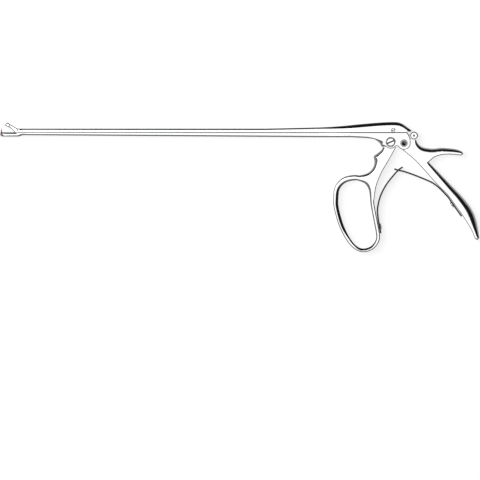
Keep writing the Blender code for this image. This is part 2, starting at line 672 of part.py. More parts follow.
def make_ring_handle(steel):
    """Moving handle: finger ring, limb, and the tongue that pushes the trigger pin."""
    hole = ring_hole()
    ring = slab("ring_handle", ring_handle_outline(hole), *centred(RING_DEPTH), steel, holes=[hole],
                edge=EDGE_ROUND, rise=RIM_RISE)
    for part, (low, high) in (("above", (MID_Z + TONGUE_DEPTH / 2, BODY_DEPTH + 1)),
                              ("below", (-1.0, MID_Z - TONGUE_DEPTH / 2))):
        combine(ring, slab("shoulder_" + part, shoulder_outline(), low, high))
    crown = arc(TRIGGER_PIN_X, TRIGGER_PIN_Y, TONGUE_REACH, 15, 165, 8)
    tongue = join_runs(crown, smooth(TONGUE_FRONT), smooth(TONGUE_REAR))
    low, high = centred(TONGUE_DEPTH)
    combine(ring, slab("tongue", tongue, low + 0.01, high - 0.01), "UNION")
    cut_rod(ring, "pivot_bore", 0.0, 0.0, PIVOT_SHANK_RADIUS + BORE_GAP)
    track = drive_track(0.0, 0.0, TRIGGER_PIN_X, TRIGGER_PIN_Y, STROKE, TRIGGER_ANGLE,
                        TRIGGER_PIN_RADIUS + BORE_GAP)
    combine(ring, slab("trigger_track", track, -1.0, BODY_DEPTH + 1))
    return ring


def shoulder_outline():
    """What the full depth of the limb gives up to the cheeks: round about the pivot, and ahead of it as far
    as the cheeks' front corner, which passes there when the handle swings."""
    reach = math.hypot(*CHEEK_FRONT[-1]) + SWING_GAP
    corner = math.degrees(math.atan2(-CHEEK_FRONT[-1][1], -CHEEK_FRONT[-1][0])) + 180
    swept = arc(0.0, 0.0, reach, corner - math.degrees(TRIGGER_ANGLE) - 4, corner + 2, 4)
    about_pivot = arc(0.0, 0.0, PIVOT_LUG_RADIUS + SWING_GAP, 232, 312, 9)
    upper_right = (PIVOT_LUG_RADIUS + 2.8, BODY_DEPTH + 4)
    upper_left = (swept[0][0] - 1.5, BODY_DEPTH + 4)
    return swept + about_pivot + [(upper_right[0], -PIVOT_LUG_RADIUS - SWING_GAP), upper_right, upper_left]


def make_rear_handle(steel):
    """Fixed lever with its thumb spur, the knuckle at its top and a tang between the cheeks."""
    knuckle = arc(STOP_X, STOP_Y, STOP_RADIUS, -60, 165, 12)
    top = smooth((*SPUR_TOP, (*knuckle[0], LEVER_ROUND)))
    lever = join_runs(smooth(LEVER_FRONT), smooth(LEVER_TIP), smooth(LEVER_REAR), smooth(SPUR_UNDER),
                      smooth(SPUR_TIP), top, knuckle, smooth(TANG_INNER))
    handle = slab("rear_handle", lever, *centred(HANDLE_DEPTH), steel, edge=LEVER_ROUND, rise=RIM_RISE)
    clear = grow(counter_clockwise(cheek_outline()), SEAT_GAP)
    for part, (low, high) in (("above", (MID_Z + TONGUE_DEPTH / 2, BODY_DEPTH + 1)),
                              ("below", (-1.0, MID_Z - TONGUE_DEPTH / 2))):
        combine(handle, slab("cheek_seat_" + part, clear, low, high))
    cut_rod(handle, "tang_bore", HANDLE_SCREW_X, HANDLE_SCREW_Y, HANDLE_SCREW_RADIUS + BORE_GAP)
    cut_screw_seat(handle, "knuckle_seat", STOP_X, STOP_Y, STOP_RADIUS + 2 * SEAT_GAP, STOP_SHANK_RADIUS,
                   STOP_HEAD_THICKNESS)
    return handle


def slotted_screw(name, x, y, head_radius, shank_radius, turn, rise, steel):
    """A screw along Z with a slotted head on the upper cheek and its end flush below."""
    head_low = BODY_DEPTH - HEAD_THICKNESS
    top = BODY_DEPTH + rise
    profile = [(0, 0.0), (shank_radius, 0.0), (shank_radius, head_low), (head_radius, head_low),
               (head_radius, top - 0.2), (head_radius - 0.2, top), (0, top)]
    screw = turned(name, profile, upright(x, y), steel)
    reach = head_radius + 1
    combine(screw, block(name + "_slot", (-reach, reach), (-SLOT_WIDTH / 2, SLOT_WIDTH / 2),
                         (top - SLOT_DEPTH, top + 1), upright(x, y, turn)))


def make_stop_screw(steel):
    """Knurled screw in the knuckle behind the slider, with a small centre mark."""
    low = BODY_DEPTH - STOP_HEAD_THICKNESS
    outline = []
    for tooth_number in range(2 * KNURL_TEETH):
        radius = STOP_RADIUS - KNURL_DEPTH * (tooth_number % 2)
        angle = math.pi * tooth_number / KNURL_TEETH
        outline.append((STOP_X + radius * math.cos(angle), STOP_Y + radius * math.sin(angle)))
    screw = slab("stop_screw", outline, low, BODY_DEPTH, steel)
    shank = rod("stop_shank", STOP_SHANK_RADIUS, MID_Z - HANDLE_DEPTH / 2 + SEAT_GAP, low + 0.5,
                upright(STOP_X, STOP_Y))
    combine(screw, shank, "UNION")
    combine(screw, rod("stop_mark", 0.55, BODY_DEPTH - 0.4, BODY_DEPTH + 1, upright(STOP_X, STOP_Y)))


def strip(name, path, widths, steel):
    """A leaf of spring steel along a path in the XY plane, with a width at each point."""
    sections = []
    for index, (x, y) in enumerate(path):
        before = path[max(index - 1, 0)]
        after = path[min(index + 1, len(path) - 1)]
        along = Vector((after[0] - before[0], after[1] - before[1])).normalized()
        side = Vector((-along.y, along.x)) * SPRING_THICKNESS / 2
        low, high = centred(widths[index])
        sections.append([(x + side.x, y + side.y, low), (x + side.x, y + side.y, high),
                         (x - side.x, y - side.y, high), (x - side.x, y - side.y, low)])
    return loft(name, sections, steel)


def spring_screw(name, point, outward, seat_depth, steel):
    """A round-headed screw through the root of a leaf spring; outward points away from the handle."""
    head = SPRING_THICKNESS / 2 + BORE_GAP
    profile = [(0, -seat_depth), (SPRING_SCREW_RADIUS, -seat_depth), (SPRING_SCREW_RADIUS, head),
               (SPRING_HEAD_RADIUS, head), (SPRING_HEAD_RADIUS, head + 0.3 * SPRING_HEAD_THICKNESS),
               (SPRING_HEAD_RADIUS * 0.7, head + SPRING_HEAD_THICKNESS), (0, head + SPRING_HEAD_THICKNESS)]
    turned(name, profile, facing(point, outward), steel, 20)


def spring_bore(name, point, outward, depth):
    return rod(name, SPRING_SCREW_RADIUS + BORE_GAP, -depth - SEAT_GAP, 2.0, facing(point, outward), segments=20)


def seat_path(edge, offset):
    """Points to the right of a run of edge points, and the direction away from it."""
    first = Vector(edge[0])
    last = Vector(edge[-1])
    along = (last - first).normalized()
    outward = Vector((along.y, -along.x))
    return [tuple(Vector(point) + outward * offset) for point in edge], outward


def make_front_spring(steel, ring):
    """Leaf spring screwed to the rear of the finger ring, with a tongue at its free end."""
    offset = RING_BAND + SEAT_GAP + SPRING_THICKNESS / 2 + 0.05
    edge = ring_points(RING_HOLE_SHAPE[11:13])
    root, outward = seat_path(edge, offset)
    middle = tuple((Vector(root[0]) + Vector(root[1])) / 2)
    path = smooth([root[0], middle, root[1], *FRONT_SPRING_FREE, SPRINGS_MEET, FRONT_SPRING_TIP])
    widths = []
    for index in range(len(path)):
        left = len(path) - 1 - index
        widths.append(SPRING_TONGUE_WIDTH if left <= 2 * SPLINE_STEPS - 1 else SPRING_WIDTH)
    spring = strip("front_spring", path, widths, steel)
    depth = RING_BAND * 0.7 + SEAT_GAP
    combine(spring, spring_bore("front_spring_hole", middle, outward, depth))
    combine(ring, spring_bore("ring_screw_hole", middle, outward, depth))
    spring_screw("front_spring_screw", middle, outward, depth, steel)
    return spring


def make_rear_spring(steel, handle):
    """Leaf spring screwed to the front of the lever, with a slot that takes the other spring's tongue."""
    root, outward = seat_path(LEVER_FRONT[3:6], SPRING_THICKNESS / 2 + 2 * SEAT_GAP)
    root = root[::-1]
    middle = root[1]
    path = smooth([*root, *REAR_SPRING_FREE, SPRINGS_MEET, REAR_SPRING_TIP])
    spring = strip("rear_spring", path, [SPRING_WIDTH] * len(path), steel)
    depth = SPRING_SCREW_DEPTH
    combine(spring, spring_bore("rear_spring_hole", middle, outward, depth))
    combine(handle, spring_bore("lever_screw_hole", middle, outward, depth))
    spring_screw("rear_spring_screw", middle, outward, depth, steel)
    half = SPRING_SLOT_LENGTH / 2
    slope = math.degrees(math.atan2(REAR_SPRING_TIP[1] - SPRINGS_MEET[1], REAR_SPRING_TIP[0] - SPRINGS_MEET[0]))
    wide = SPRING_TONGUE_WIDTH / 2 + 3 * SEAT_GAP
    combine(spring, block("spring_slot", (-half, half), (-2.0, 2.0), (MID_Z - wide, MID_Z + wide),
                          upright(*SPRINGS_MEET, slope)))
    return spring


def make_pins(steel):
    half = BAR_WIDTH / 2 - SEAT_GAP
    rod("jaw_pin", JAW_PIN_RADIUS, MID_Z - BASKET_WIDTH / 2 + SEAT_GAP * 3, MID_Z + BASKET_WIDTH / 2 - SEAT_GAP * 3,
        upright(JAW_PIN_X, JAW_PIN_Y), steel, 12)
    rod("jaw_drive_pin", DRIVE_PIN_RADIUS, MID_Z - half, MID_Z + half, upright(DRIVE_PIN_X, DRIVE_PIN_Y), steel, 12)
    half = SLIDER_REAR_WIDTH / 2
    pin = rod("trigger_pin", TRIGGER_PIN_RADIUS, MID_Z - half, MID_Z + half, upright(TRIGGER_PIN_X, TRIGGER_PIN_Y),
              steel, chamfer=0.15)
    reach = TRIGGER_PIN_RADIUS + 1
    combine(pin, block("trigger_pin_slot", (-reach, reach), (-0.2, 0.2), (MID_Z + half - 0.35, MID_Z + half + 1),
                       upright(TRIGGER_PIN_X, TRIGGER_PIN_Y, 15)))


def make_axis(name, place, children):
    """An empty on a joint's axis that carries the pieces of its body."""
    axis = bpy.data.objects.new(name, None)
    axis.location = Vector(place) * MM
    bpy.context.collection.objects.link(axis)
    for child in children:
        child.location = child.location - axis.location
        child.parent = axis


def build():
    clear_scene()
    satin = make_material("satin_steel", (0.74, 0.75, 0.77), 0.28)
    bright = make_material("bright_steel", (0.82, 0.83, 0.85), 0.18)
    spring_steel = make_material("spring_steel", (0.62, 0.63, 0.66), 0.3)
    make_lower_shaft(satin)
    make_slider(satin)
    make_studs(bright)
    jaw = make_upper_jaw(bright)
    ring = make_ring_handle(satin)
    handle = make_rear_handle(satin)
    make_pins(bright)
    slotted_screw("pivot_screw", 0.0, 0.0, PIVOT_HEAD_RADIUS, PIVOT_SHANK_RADIUS, 24.0, HEAD_RISE, bright)
    slotted_screw("rear_handle_screw", HANDLE_SCREW_X, HANDLE_SCREW_Y, HANDLE_SCREW_HEAD_RADIUS,
                  HANDLE_SCREW_RADIUS, -38.0, -0.1, bright)
    make_stop_screw(bright)
    front_spring = make_front_spring(spring_steel, ring)
    make_rear_spring(spring_steel, handle)
    screw = bpy.data.objects["front_spring_screw"]
    make_axis("trigger_axis", (0.0, 0.0, 0.0), (ring, front_spring, screw))
    make_axis("jaw_axis", (JAW_PIN_X, JAW_PIN_Y, MID_Z), (jaw,))


build()
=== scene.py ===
import math

import bmesh
import bpy
import numpy as np
from mathutils import Matrix, Vector
from mathutils.geometry import delaunay_2d_cdt


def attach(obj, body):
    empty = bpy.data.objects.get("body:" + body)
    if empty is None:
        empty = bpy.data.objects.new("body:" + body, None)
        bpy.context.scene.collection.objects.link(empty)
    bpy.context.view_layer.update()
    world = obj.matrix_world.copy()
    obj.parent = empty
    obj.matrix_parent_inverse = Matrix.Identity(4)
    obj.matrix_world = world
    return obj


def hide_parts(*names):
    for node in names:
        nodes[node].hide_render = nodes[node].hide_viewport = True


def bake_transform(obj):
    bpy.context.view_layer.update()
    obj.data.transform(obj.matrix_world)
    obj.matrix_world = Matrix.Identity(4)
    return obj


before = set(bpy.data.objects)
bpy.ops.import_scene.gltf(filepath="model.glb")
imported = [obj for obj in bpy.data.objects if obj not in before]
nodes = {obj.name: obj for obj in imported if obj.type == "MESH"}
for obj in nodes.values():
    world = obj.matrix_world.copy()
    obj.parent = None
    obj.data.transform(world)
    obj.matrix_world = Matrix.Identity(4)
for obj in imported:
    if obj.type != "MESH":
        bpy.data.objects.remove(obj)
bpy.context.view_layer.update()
print("frame loaded:", len(nodes), "nodes")

mm = 0.001

# Sizes that several pieces share, in millimetres: x from the jaws to the handles, y up to the shaft
body = dict(depth=8.0, middle=4.0, parting=6.2, tongue=3.0, lug=4.2)
gaps = dict(parting=0.03, side=0.1, bore=0.04, pin=0.06, seat=0.1, swing=0.15)
through = dict(low=-1.0, high=9.0)  # depths at which a tool stands out of the body below and above
pivot = dict(x=0.0, y=0.0, head=2.7, shank=1.6)
leverScrewPlace = dict(x=8.5, y=-0.7, head=1.9, shank=1.1)
stopPlace = dict(x=14.8, y=4.1, head=2.6, shank=1.2)
tip = dict(x=-248.1, pinSetback=11.4, pinY=4.85, drivePinY=7.75, swing=25.0)
jawPin = (tip["x"] + tip["pinSetback"], tip["pinY"])
jawArm = (tip["drivePinY"] - tip["pinY"]) / math.cos(math.radians(tip["swing"] / 2))
drivePin = (jawPin[0] + jawArm * math.sin(math.radians(tip["swing"] / 2)), tip["drivePinY"])
jawPins = dict(hinge=0.42, drive=0.38)  # radii
stroke = 2 * (drivePin[0] - jawPin[0])
triggerPin = dict(x=1.7, y=7.5, radius=1.3, wall=1.2)
tongueReach = triggerPin["radius"] + triggerPin["wall"]
ring = dict(x=-21.2, y=-46.0, halfWidth=12.0, halfLength=21.6, band=2.4, frontBand=0.8, topBand=1.0,
            depth=7.4)
leverDepth = 7.6
stopScrew = dict(height=2.2, teeth=18, tooth=0.27, mark=0.75, crown=0.9)
leafThickness = 1.0
leavesMeet = (4.8, -17.9)


# Materials

steelLooks = {
    "satinSteel": dict(colour=(0.80, 0.805, 0.815), roughness=0.13, grain=0.04, tone=0.03, bump=0.08),
    "polishedSteel": dict(colour=(0.84, 0.845, 0.855), roughness=0.09, grain=0.03, tone=0.02, bump=0.04),
    "springSteel": dict(colour=(0.04, 0.042, 0.048), roughness=0.20, grain=0.05, tone=0.10, bump=0.12),
}


def feed(node, given):  # plain values are set and outputs are linked: for a node, its first one in use
    for label, value in given.items():
        for source in value if isinstance(value, list) else [value]:
            if isinstance(source, bpy.types.Node):
                source = next(output for output in source.outputs if output.enabled)
            if isinstance(source, bpy.types.NodeSocket):
                node.id_data.links.new(source, node.inputs[label])
            else:
                node.inputs[label].default_value = source
    return node


def addNode(tree, kind, x, y, given=None, **settings):
    node = tree.nodes.new(kind)
    node.location = (x, y)
    for key, value in settings.items():
        setattr(node, key, value)
    return feed(node, given or {})


def makeSteel(name, colour, roughness, grain, tone, bump):
    material = bpy.data.materials.new(name)
    material.use_nodes = True
    tree = material.node_tree
    place = addNode(tree, "ShaderNodeTexCoord", -1500, 0).outputs["Object"]

    # Fine marks drawn out along the shaft
    brushed = addNode(tree, "ShaderNodeMapping", -1300, 200, {"Vector": place, "Scale": (120, 5200, 5200)})
    marks = addNode(tree, "ShaderNodeTexNoise", -1100, 200, {"Vector": brushed, "Scale": 1.0, "Detail": 3.0})

    # Broad cloudiness left by hand polishing
    clouds = addNode(tree, "ShaderNodeTexNoise", -1100, -60, {"Vector": place, "Scale": 90, "Detail": 4.0})
    both = addNode(tree, "ShaderNodeMix", -850, 100, {"Factor": 0.5, "A": marks, "B": clouds},
                   data_type="FLOAT")
    rough = addNode(tree, "ShaderNodeMapRange", -600, 60, {
        "Value": both, "From Min": 0.3, "From Max": 0.7, "To Min": roughness - grain,
        "To Max": roughness + grain})
    darker, lighter = [(*[part * (1 + side * tone) for part in colour], 1) for side in (-1, 1)]
    shade = addNode(tree, "ShaderNodeMix", -600, 320, {"Factor": both, "A": darker, "B": lighter},
                    data_type="RGBA")
    relief = addNode(tree, "ShaderNodeBump", -300, -200, {
        "Height": marks, "Strength": bump, "Distance": 0.00002})
    feed(tree.nodes["Principled BSDF"], {
        "Metallic": 1.0, "Base Color": shade, "Roughness": rough, "Normal": relief})
    return material


steels = {name: makeSteel(name, **look) for name, look in steelLooks.items()}
for member in nodes:
    nodes[member].data.materials.clear()
    nodes[member].data.materials.append(steels["polishedSteel"])
print("steels ready:", ", ".join(steels))


# Outlines in millimetres

def arc(x, y, radius, start, end, steps=24):
    turns = [math.radians(start + (end - start) * step / steps) for step in range(steps + 1)]
    return [(x + radius * math.cos(turn), y + radius * math.sin(turn)) for turn in turns]


def smooth(points, closed=False, steps=8):
    count = len(points)
    curve = []
    for index in range(count if closed else count - 1):
        shifts = [index + shift for shift in (-1, 0, 1, 2)]
        near = [Vector(points[s % count if closed else min(max(s, 0), count - 1)]) for s in shifts]
        for step in range(steps):
            t = step / steps
            bend = (2 * near[0] - 5 * near[1] + 4 * near[2] - near[3]) * t * t
            twist = (3 * near[1] - near[0] - 3 * near[2] + near[3]) * t ** 3
            curve.append(tuple(0.5 * (2 * near[1] + (near[2] - near[0]) * t + bend + twist)))
    return curve if closed else curve + [tuple(points[-1])]


def joinRuns(*runs):
    outline = []
    for point in (point for run in runs for point in run):
        if not outline or math.dist(point[:2], outline[-1][:2]) > 0.01:
            outline.append(point)
    if math.dist(outline[0][:2], outline[-1][:2]) < 0.01:
        outline.pop()
    return outline


def divide(loop, longest=0.8):  # short edges keep the shading of a wide flat even
    full = []
    for point, after in zip(loop, loop[1:] + loop[:1]):
        parts = max(math.ceil(math.dist(point[:2], after[:2]) / longest), 1)
        full += [tuple(a + (b - a) * part / parts for a, b in zip(point, after)) for part in range(parts)]
    return full


def rimmed(points, width, bevel=0.0):  # the same rim all along a run
    return [(*point[:2], width, bevel) for point in points]


def roundRims(points):  # each point has its own rim width, and no bevel
    return [(*point, 0) for point in points]


def turnedLeft(outline):
    area = sum(a[0] * b[1] - b[0] * a[1] for a, b in zip(outline, outline[1:] + outline[:1]))
    return outline if area > 0 else outline[::-1]


def grow(outline, amounts):
    moved = []
    for index, point in enumerate(outline):
        before = Vector(outline[index - 1][:2])
        here = Vector(point[:2])
        after = Vector(outline[(index + 1) % len(outline)][:2])
        incoming = (here - before).normalized()
        leaving = (after - here).normalized()
        normal = Vector((incoming.y + leaving.y, -incoming.x - leaving.x)).normalized()
        stretch = 1 / max(normal.dot(Vector((leaving.y, -leaving.x))), 0.6)
        amount = amounts[index] if isinstance(amounts, list) else amounts
        moved.append(tuple(here + normal * amount * stretch))
    return moved


# Solids

def addObject(name, data):
    item = bpy.data.objects.new(name, data)
    bpy.context.scene.collection.objects.link(item)
    return item


def makePiece(name, points, faces, edges=()):
    mesh = bpy.data.meshes.new(name)
    mesh.from_pydata([Vector(point) * mm for point in points], edges, faces)
    return addObject(name, mesh)


def bakeModifiers(piece):
    shape = bpy.data.meshes.new_from_object(piece.evaluated_get(bpy.context.evaluated_depsgraph_get()))
    piece.modifiers.clear()
    piece.data = shape
    return piece


def nearestEdge(spots, starts, ends, rims):
    along = ends - starts
    share = (((spots[:, None] - starts) * along).sum(2) / (along ** 2).sum(1)).clip(0, 1)
    away = np.linalg.norm(spots[:, None] - starts - share[..., None] * along, axis=2)
    nearest = away.argmin(1)
    row = np.arange(len(spots))
    rim = rims[0][nearest] + (rims[1] - rims[0])[nearest] * share[row, nearest, None]
    return away[row, nearest], rim[:, 0], rim[:, 1]


# A plate whose rims fall away by the distance from its outline, rounded or as a bevel, wide or narrow
def makePlate(name, outline, low, high, rim=0.4, bevel=1.0, rise=1.3, holes=(), rimSteps=8):
    loops = []
    for loop in (outline, *holes):
        full = [(*point, *(rim, bevel)[len(point) - 2:]) for point in loop]
        loops.append(divide(turnedLeft(full)))
    corners = np.array([point for loop in loops for point in loop])
    following = np.array([point for loop in loops for point in loop[1:] + loop[:1]])
    starts = corners[:, :2]
    ends = following[:, :2]
    rimPair = (corners[:, 2:], following[:, 2:])
    links = []
    base = 0
    for loop in loops:
        links += [(base + step, base + (step + 1) % len(loop)) for step in range(len(loop))]
        base += len(loop)

    # Rows of points along the rims, closest at the outline, and one just past them on the flat
    spots = [tuple(start) for start in starts]
    shares = [1 - math.sin(math.radians(90 * step / rimSteps)) for step in range(rimSteps)] + [1.15]
    for share in shares:
        for number, loop in enumerate(loops):
            inwards = [(share if number else -share) * point[2] for point in loop]
            row = np.array(grow(loop, inwards))
            away, width, _ = nearestEdge(row, starts, ends, rimPair)
            spots += [tuple(spot) for spot in row[away > 0.97 * share * width]]

    flat, _, triangles, *_ = delaunay_2d_cdt([Vector(spot) for spot in spots], links, [], 1, 1e-4)
    flat = np.array([tuple(point) for point in flat])

    # A triangle inside the outline and outside the holes sees an odd number of edges to one side
    centres = np.array([flat[list(face)].mean(0) for face in triangles])
    crossings = np.zeros(len(centres), int)
    for start, end in zip(starts, ends):
        spans = (start[1] > centres[:, 1]) != (end[1] > centres[:, 1])
        rate = (centres[:, 1] - start[1]) / (end[1] - start[1] if end[1] != start[1] else 1)
        crossings += spans & (centres[:, 0] < start[0] + rate * (end[0] - start[0]))
    kept = [list(face) for face, count in zip(triangles, crossings) if count % 2]

    away, width, bevels = nearestEdge(flat, starts, ends, rimPair)
    inner = (1 - away / width).clip(0, 1)
    power = 2 - 0.75 * bevels
    drop = np.minimum(rise, width * (0.95 - 0.25 * bevels)) * (1 - (1 - inner ** power) ** (1 / power))
    count = len(flat)
    points = [(x, y, high - fall) for (x, y), fall in zip(flat, drop)]
    points += [(x, y, low + fall) for (x, y), fall in zip(flat, drop)]
    faces = []
    sides = {}
    for face in kept:
        a, b, c = [Vector(flat[corner]) for corner in face]
        if (b - a).cross(c - a) < 0:
            face = face[::-1]
        faces.append(face)
        faces.append([corner + count for corner in face[::-1]])
        for corner in range(3):
            sides[(face[corner], face[(corner + 1) % 3])] = True
    faces += [(a + count, b + count, b, a) for a, b in sides if (b, a) not in sides]
    return makePiece(name, points, faces)


# A plain upright tool of an outline, through the whole depth unless it is told otherwise
def makeCutter(name, outline, low=through["low"], high=through["high"]):
    return makePlate(name, outline, low, high, rim=0.01, rise=0.01)


def makeLoft(name, sections):
    count = len(sections[0])
    last = (len(sections) - 1) * count
    faces = [tuple(range(count)), tuple(range(last + count - 1, last - 1, -1))]
    for level in range(len(sections) - 1):
        for index in range(count):
            a = level * count + index
            b = level * count + (index + 1) % count
            faces.append((a, a + count, b + count, b))
    return tidyNormals(makePiece(name, [point for section in sections for point in section], faces))


def tidyNormals(piece):
    work = bmesh.new()
    work.from_mesh(piece.data)
    bmesh.ops.recalc_face_normals(work, faces=work.faces)
    work.to_mesh(piece.data)
    work.free()
    return piece


# A turned solid, whose profile runs from the axis at the bottom to the axis at the top
def makeTurned(name, profile, place, segments=64):
    points = []
    rings = []
    for radius, height in profile:
        rings.append([len(points) + (index if radius else 0) for index in range(segments)])
        spots = arc(0, 0, radius, 0, 360, segments)[:segments if radius else 1]
        points += [place @ Vector((x, y, height)) for x, y in spots]
    faces = []
    for lower, upper in zip(rings, rings[1:]):
        for index in range(segments):
            after = (index + 1) % segments
            corners = (lower[index], lower[after], upper[after], upper[index])
            faces.append(list(dict.fromkeys(corners)))  # a triangle on the axis
    return tidyNormals(makePiece(name, points, faces))


def makeBox(name, xRange, yRange, zRange, place=Matrix()):
    points = [place @ Vector((x, y, z)) for x in xRange for y in yRange for z in zRange]
    faces = [(0, 1, 3, 2), (4, 6, 7, 5), (0, 4, 5, 1), (2, 3, 7, 6), (0, 2, 6, 4), (1, 5, 7, 3)]
    return tidyNormals(makePiece(name, points, faces))


def upright(x, y, turn=0.0):
    return Matrix.Translation((x, y, 0)) @ Matrix.Rotation(math.radians(turn), 4, "Z")


def facing(point, direction):  # a place whose own z points along a direction in the plane, at mid depth
    turn = Matrix.Rotation(math.atan2(direction[1], direction[0]), 4, "Z")
    return Matrix.Translation((*point, body["middle"])) @ turn @ Matrix.Rotation(math.pi / 2, 4, "Y")


def centred(depth):
    return body["middle"] - depth / 2, body["middle"] + depth / 2


def combine(piece, *tools, operation="DIFFERENCE"):
    for tool in tools:
        modifier = piece.modifiers.new(tool.name, "BOOLEAN")
        modifier.operation = operation
        modifier.solver = "EXACT"
        modifier.object = tool
    bakeModifiers(piece)
    for tool in tools:
        bpy.data.objects.remove(tool)


def finishPiece(piece, steel, bodyName, *replaced, sharp=32):
    piece.data.materials.clear()
    piece.data.materials.append(steels[steel])
    piece.data.polygons.foreach_set("material_index", [0] * len(piece.data.polygons))
    piece.data.shade_smooth()
    piece.data.set_sharp_from_angle(angle=math.radians(sharp))
    flats = piece.modifiers.new("flats", "WEIGHTED_NORMAL")  # flats stay flat up to their rims
    flats.keep_sharp = True
    bakeModifiers(piece)
    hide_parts(*replaced)
    if bodyName:
        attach(piece, bodyName)
    print(piece.name, len(piece.data.polygons), "faces")
    return piece


tongueSlot = centred(body["tongue"] + 2 * gaps["side"])


# A slot that a pin on the sliding bar sweeps in a lever that turns while the pin moves ahead
def sweptSlot(axis, pin, swing, radius, steps=6):
    centres = []
    for step in range(steps + 1):
        away = Vector((pin[0] - stroke * step / steps - axis[0], pin[1] - axis[1]))
        away.rotate(Matrix.Rotation(-swing * step / steps, 2))
        centres.append((axis[0] + away.x, axis[1] + away.y))
    top = max(centres, key=lambda point: point[1])
    low = min(centres, key=lambda point: point[1])
    along = math.degrees(math.atan2(top[1] - low[1], top[0] - low[0]))
    return arc(*top, radius, along - 90, along + 90, 16) + arc(*low, radius, along + 90, along + 270, 16)


# Bars of the shaft

bars = dict(width=4.4, sliderRear=7.0, frontBottom=4.3, rearBottom=3.0, top=8.5, lowEdge=0.95, noseEdge=1.25,
            topEdge=0.95, humpEdge=2.2, groove=0.55, slit=0.12, flareStart=-48.0, flareEnd=-20.0,
            cheekTop=10.4, tailSlope=0.16, forkLead=0.6, forkLength=4.2, forkWidth=2.7, tongueAhead=1.9,
            tongueBehind=1.5)
basket = dict(width=5.2, bottom=3.45, length=12.5, taper=2.4, heel=1.4, cavity=2.9, floor=3.95, wall=1.65,
              mouth=1.15, mouthEnd=-237.0, lowEdge=0.8, narrowsFrom=-241.0, narrowsOver=10.0)
tooth = dict(top=8.7, baseHalf=1.3, tipHalf=0.12, sunk=1.2)
underside = ((-25.5, 3.0), (-15.7, 2.5), (-12.0, 2.05), (-8.6, 1.5))
cheekFront = ((-10.6, 1.85, 0.8), (-8.5, 0.55, 1.4), (-6.9, -1.1, 2.6), (-6.0, -2.9, 2.0))
cheekRear = ((12.6, 0.6), (12.4, 2.4), (11.3, 4.7))
lowerBarTop = body["parting"] - gaps["parting"]
sliderTop = ((-80.0, 0.0), (-45.0, 0.8), (-32.0, 1.6), (-19.0, 2.9), (-6.0, 3.95), (3.0, 4.19), (6.9, 3.3),
             (10.2, 1.2), (13.3, -1.3))


def flare(x, narrow, wide):
    share = min(max((x - bars["flareStart"]) / (bars["flareEnd"] - bars["flareStart"]), 0), 1)
    return narrow + (wide - narrow) * share * share * (3 - 2 * share)


def readCurve(points, x):
    for (x0, y0), (x1, y1) in zip(points, points[1:]):
        if x <= x1:
            return y0 + (y1 - y0) * max(x - x0, 0) / (x1 - x0)
    return points[-1][1]


def barSection(x, low, high, half, lowEdge, highEdge, steepness=0.7, hardness=1.25, steps=8):
    section = []
    for side, top in ((1, False), (1, True), (-1, True), (-1, False)):
        size = min(highEdge, high - low - lowEdge - 0.1) if top else min(lowEdge, (high - low) * 0.46)
        deep = min(size * steepness, half * 0.9)
        tall = 1 if top else -1
        edge = high if top else low
        run = []
        for step in range(steps + 1):
            turn = math.radians(90 * step / steps)
            across = deep * math.cos(turn) ** (2 / hardness) if step < steps else 0
            along = size * math.sin(turn) ** (2 / hardness)
            run.append((x, edge + tall * (along - size), body["middle"] + side * (half - deep + across)))
        section += run if (side == 1) == top else run[::-1]
    return section


def basketWidth(x):  # narrows gently behind the cup
    share = min(max((x - basket["narrowsFrom"]) / basket["narrowsOver"], 0), 1)
    return basket["width"] + (bars["width"] - basket["width"]) * share


def basketSections():
    half = basket["width"] / 2
    mouth = basket["mouth"]
    sections = []
    for step in range(2, 13):
        fromTip = max(half * (1 - math.cos(math.radians(90 * step / 12))), 0.1)
        width = math.sqrt(half ** 2 - (half - fromTip) ** 2)
        intoHeel = max(basket["heel"] - fromTip, 0)
        low = basket["bottom"] + basket["heel"] - math.sqrt(basket["heel"] ** 2 - intoHeel ** 2)
        sections.append(barSection(tip["x"] + fromTip, low, lowerBarTop, max(width, 0.3), basket["lowEdge"],
                                   mouth * step / 12))
    for back, edge in ((4.0, mouth), (2.0, mouth), (0.5, mouth), (0.0, bars["groove"])):
        x = basket["mouthEnd"] - back
        width = basketWidth(x) / 2
        sections.append(barSection(x, basket["bottom"], lowerBarTop, width, basket["lowEdge"], edge))
    heelEnd = tip["x"] + basket["length"]
    for step in range(9):
        share = step / 8
        ease = share * share * (3 - 2 * share)
        x = heelEnd - 1.0 + (basket["taper"] + 1.0) * share
        low = basket["bottom"] + (bars["frontBottom"] - basket["bottom"]) * ease
        sections.append(barSection(x, low, lowerBarTop, basketWidth(x) / 2, bars["lowEdge"], bars["groove"]))
    return sections


def cheekOutline():
    aboutPivot = arc(0, 0, body["lug"], 226, 322)
    aboutScrew = arc(leverScrewPlace["x"], leverScrewPlace["y"], body["lug"], 208, 345)
    rear = smooth((*cheekRear, (bars["cheekTop"], lowerBarTop)))
    front = roundRims(smooth(cheekFront))
    insideBar = [(-14.0, lowerBarTop, bars["groove"], 1), (-14.0, 3.2, 0.02, 1)]
    return joinRuns(front, *[rimmed(run, 0.5, 1) for run in (aboutPivot, aboutScrew, rear)], insideBar)


def screwSeat(name, place, headHeight=1.3):  # a stepped bore with a countersunk edge
    low, high = through.values()
    face = body["depth"]
    floor = face - headHeight - 0.05
    hole = place["shank"] + gaps["bore"]
    seat = place["head"] + 2 * gaps["bore"]
    profile = [(0, low), (hole, low), (hole, floor), (seat, floor), (seat, face - 0.3),
               (seat + 0.5, face + 0.05), (seat + 0.5, high), (0, high)]
    return makeTurned(name, profile, upright(place["x"], place["y"]))


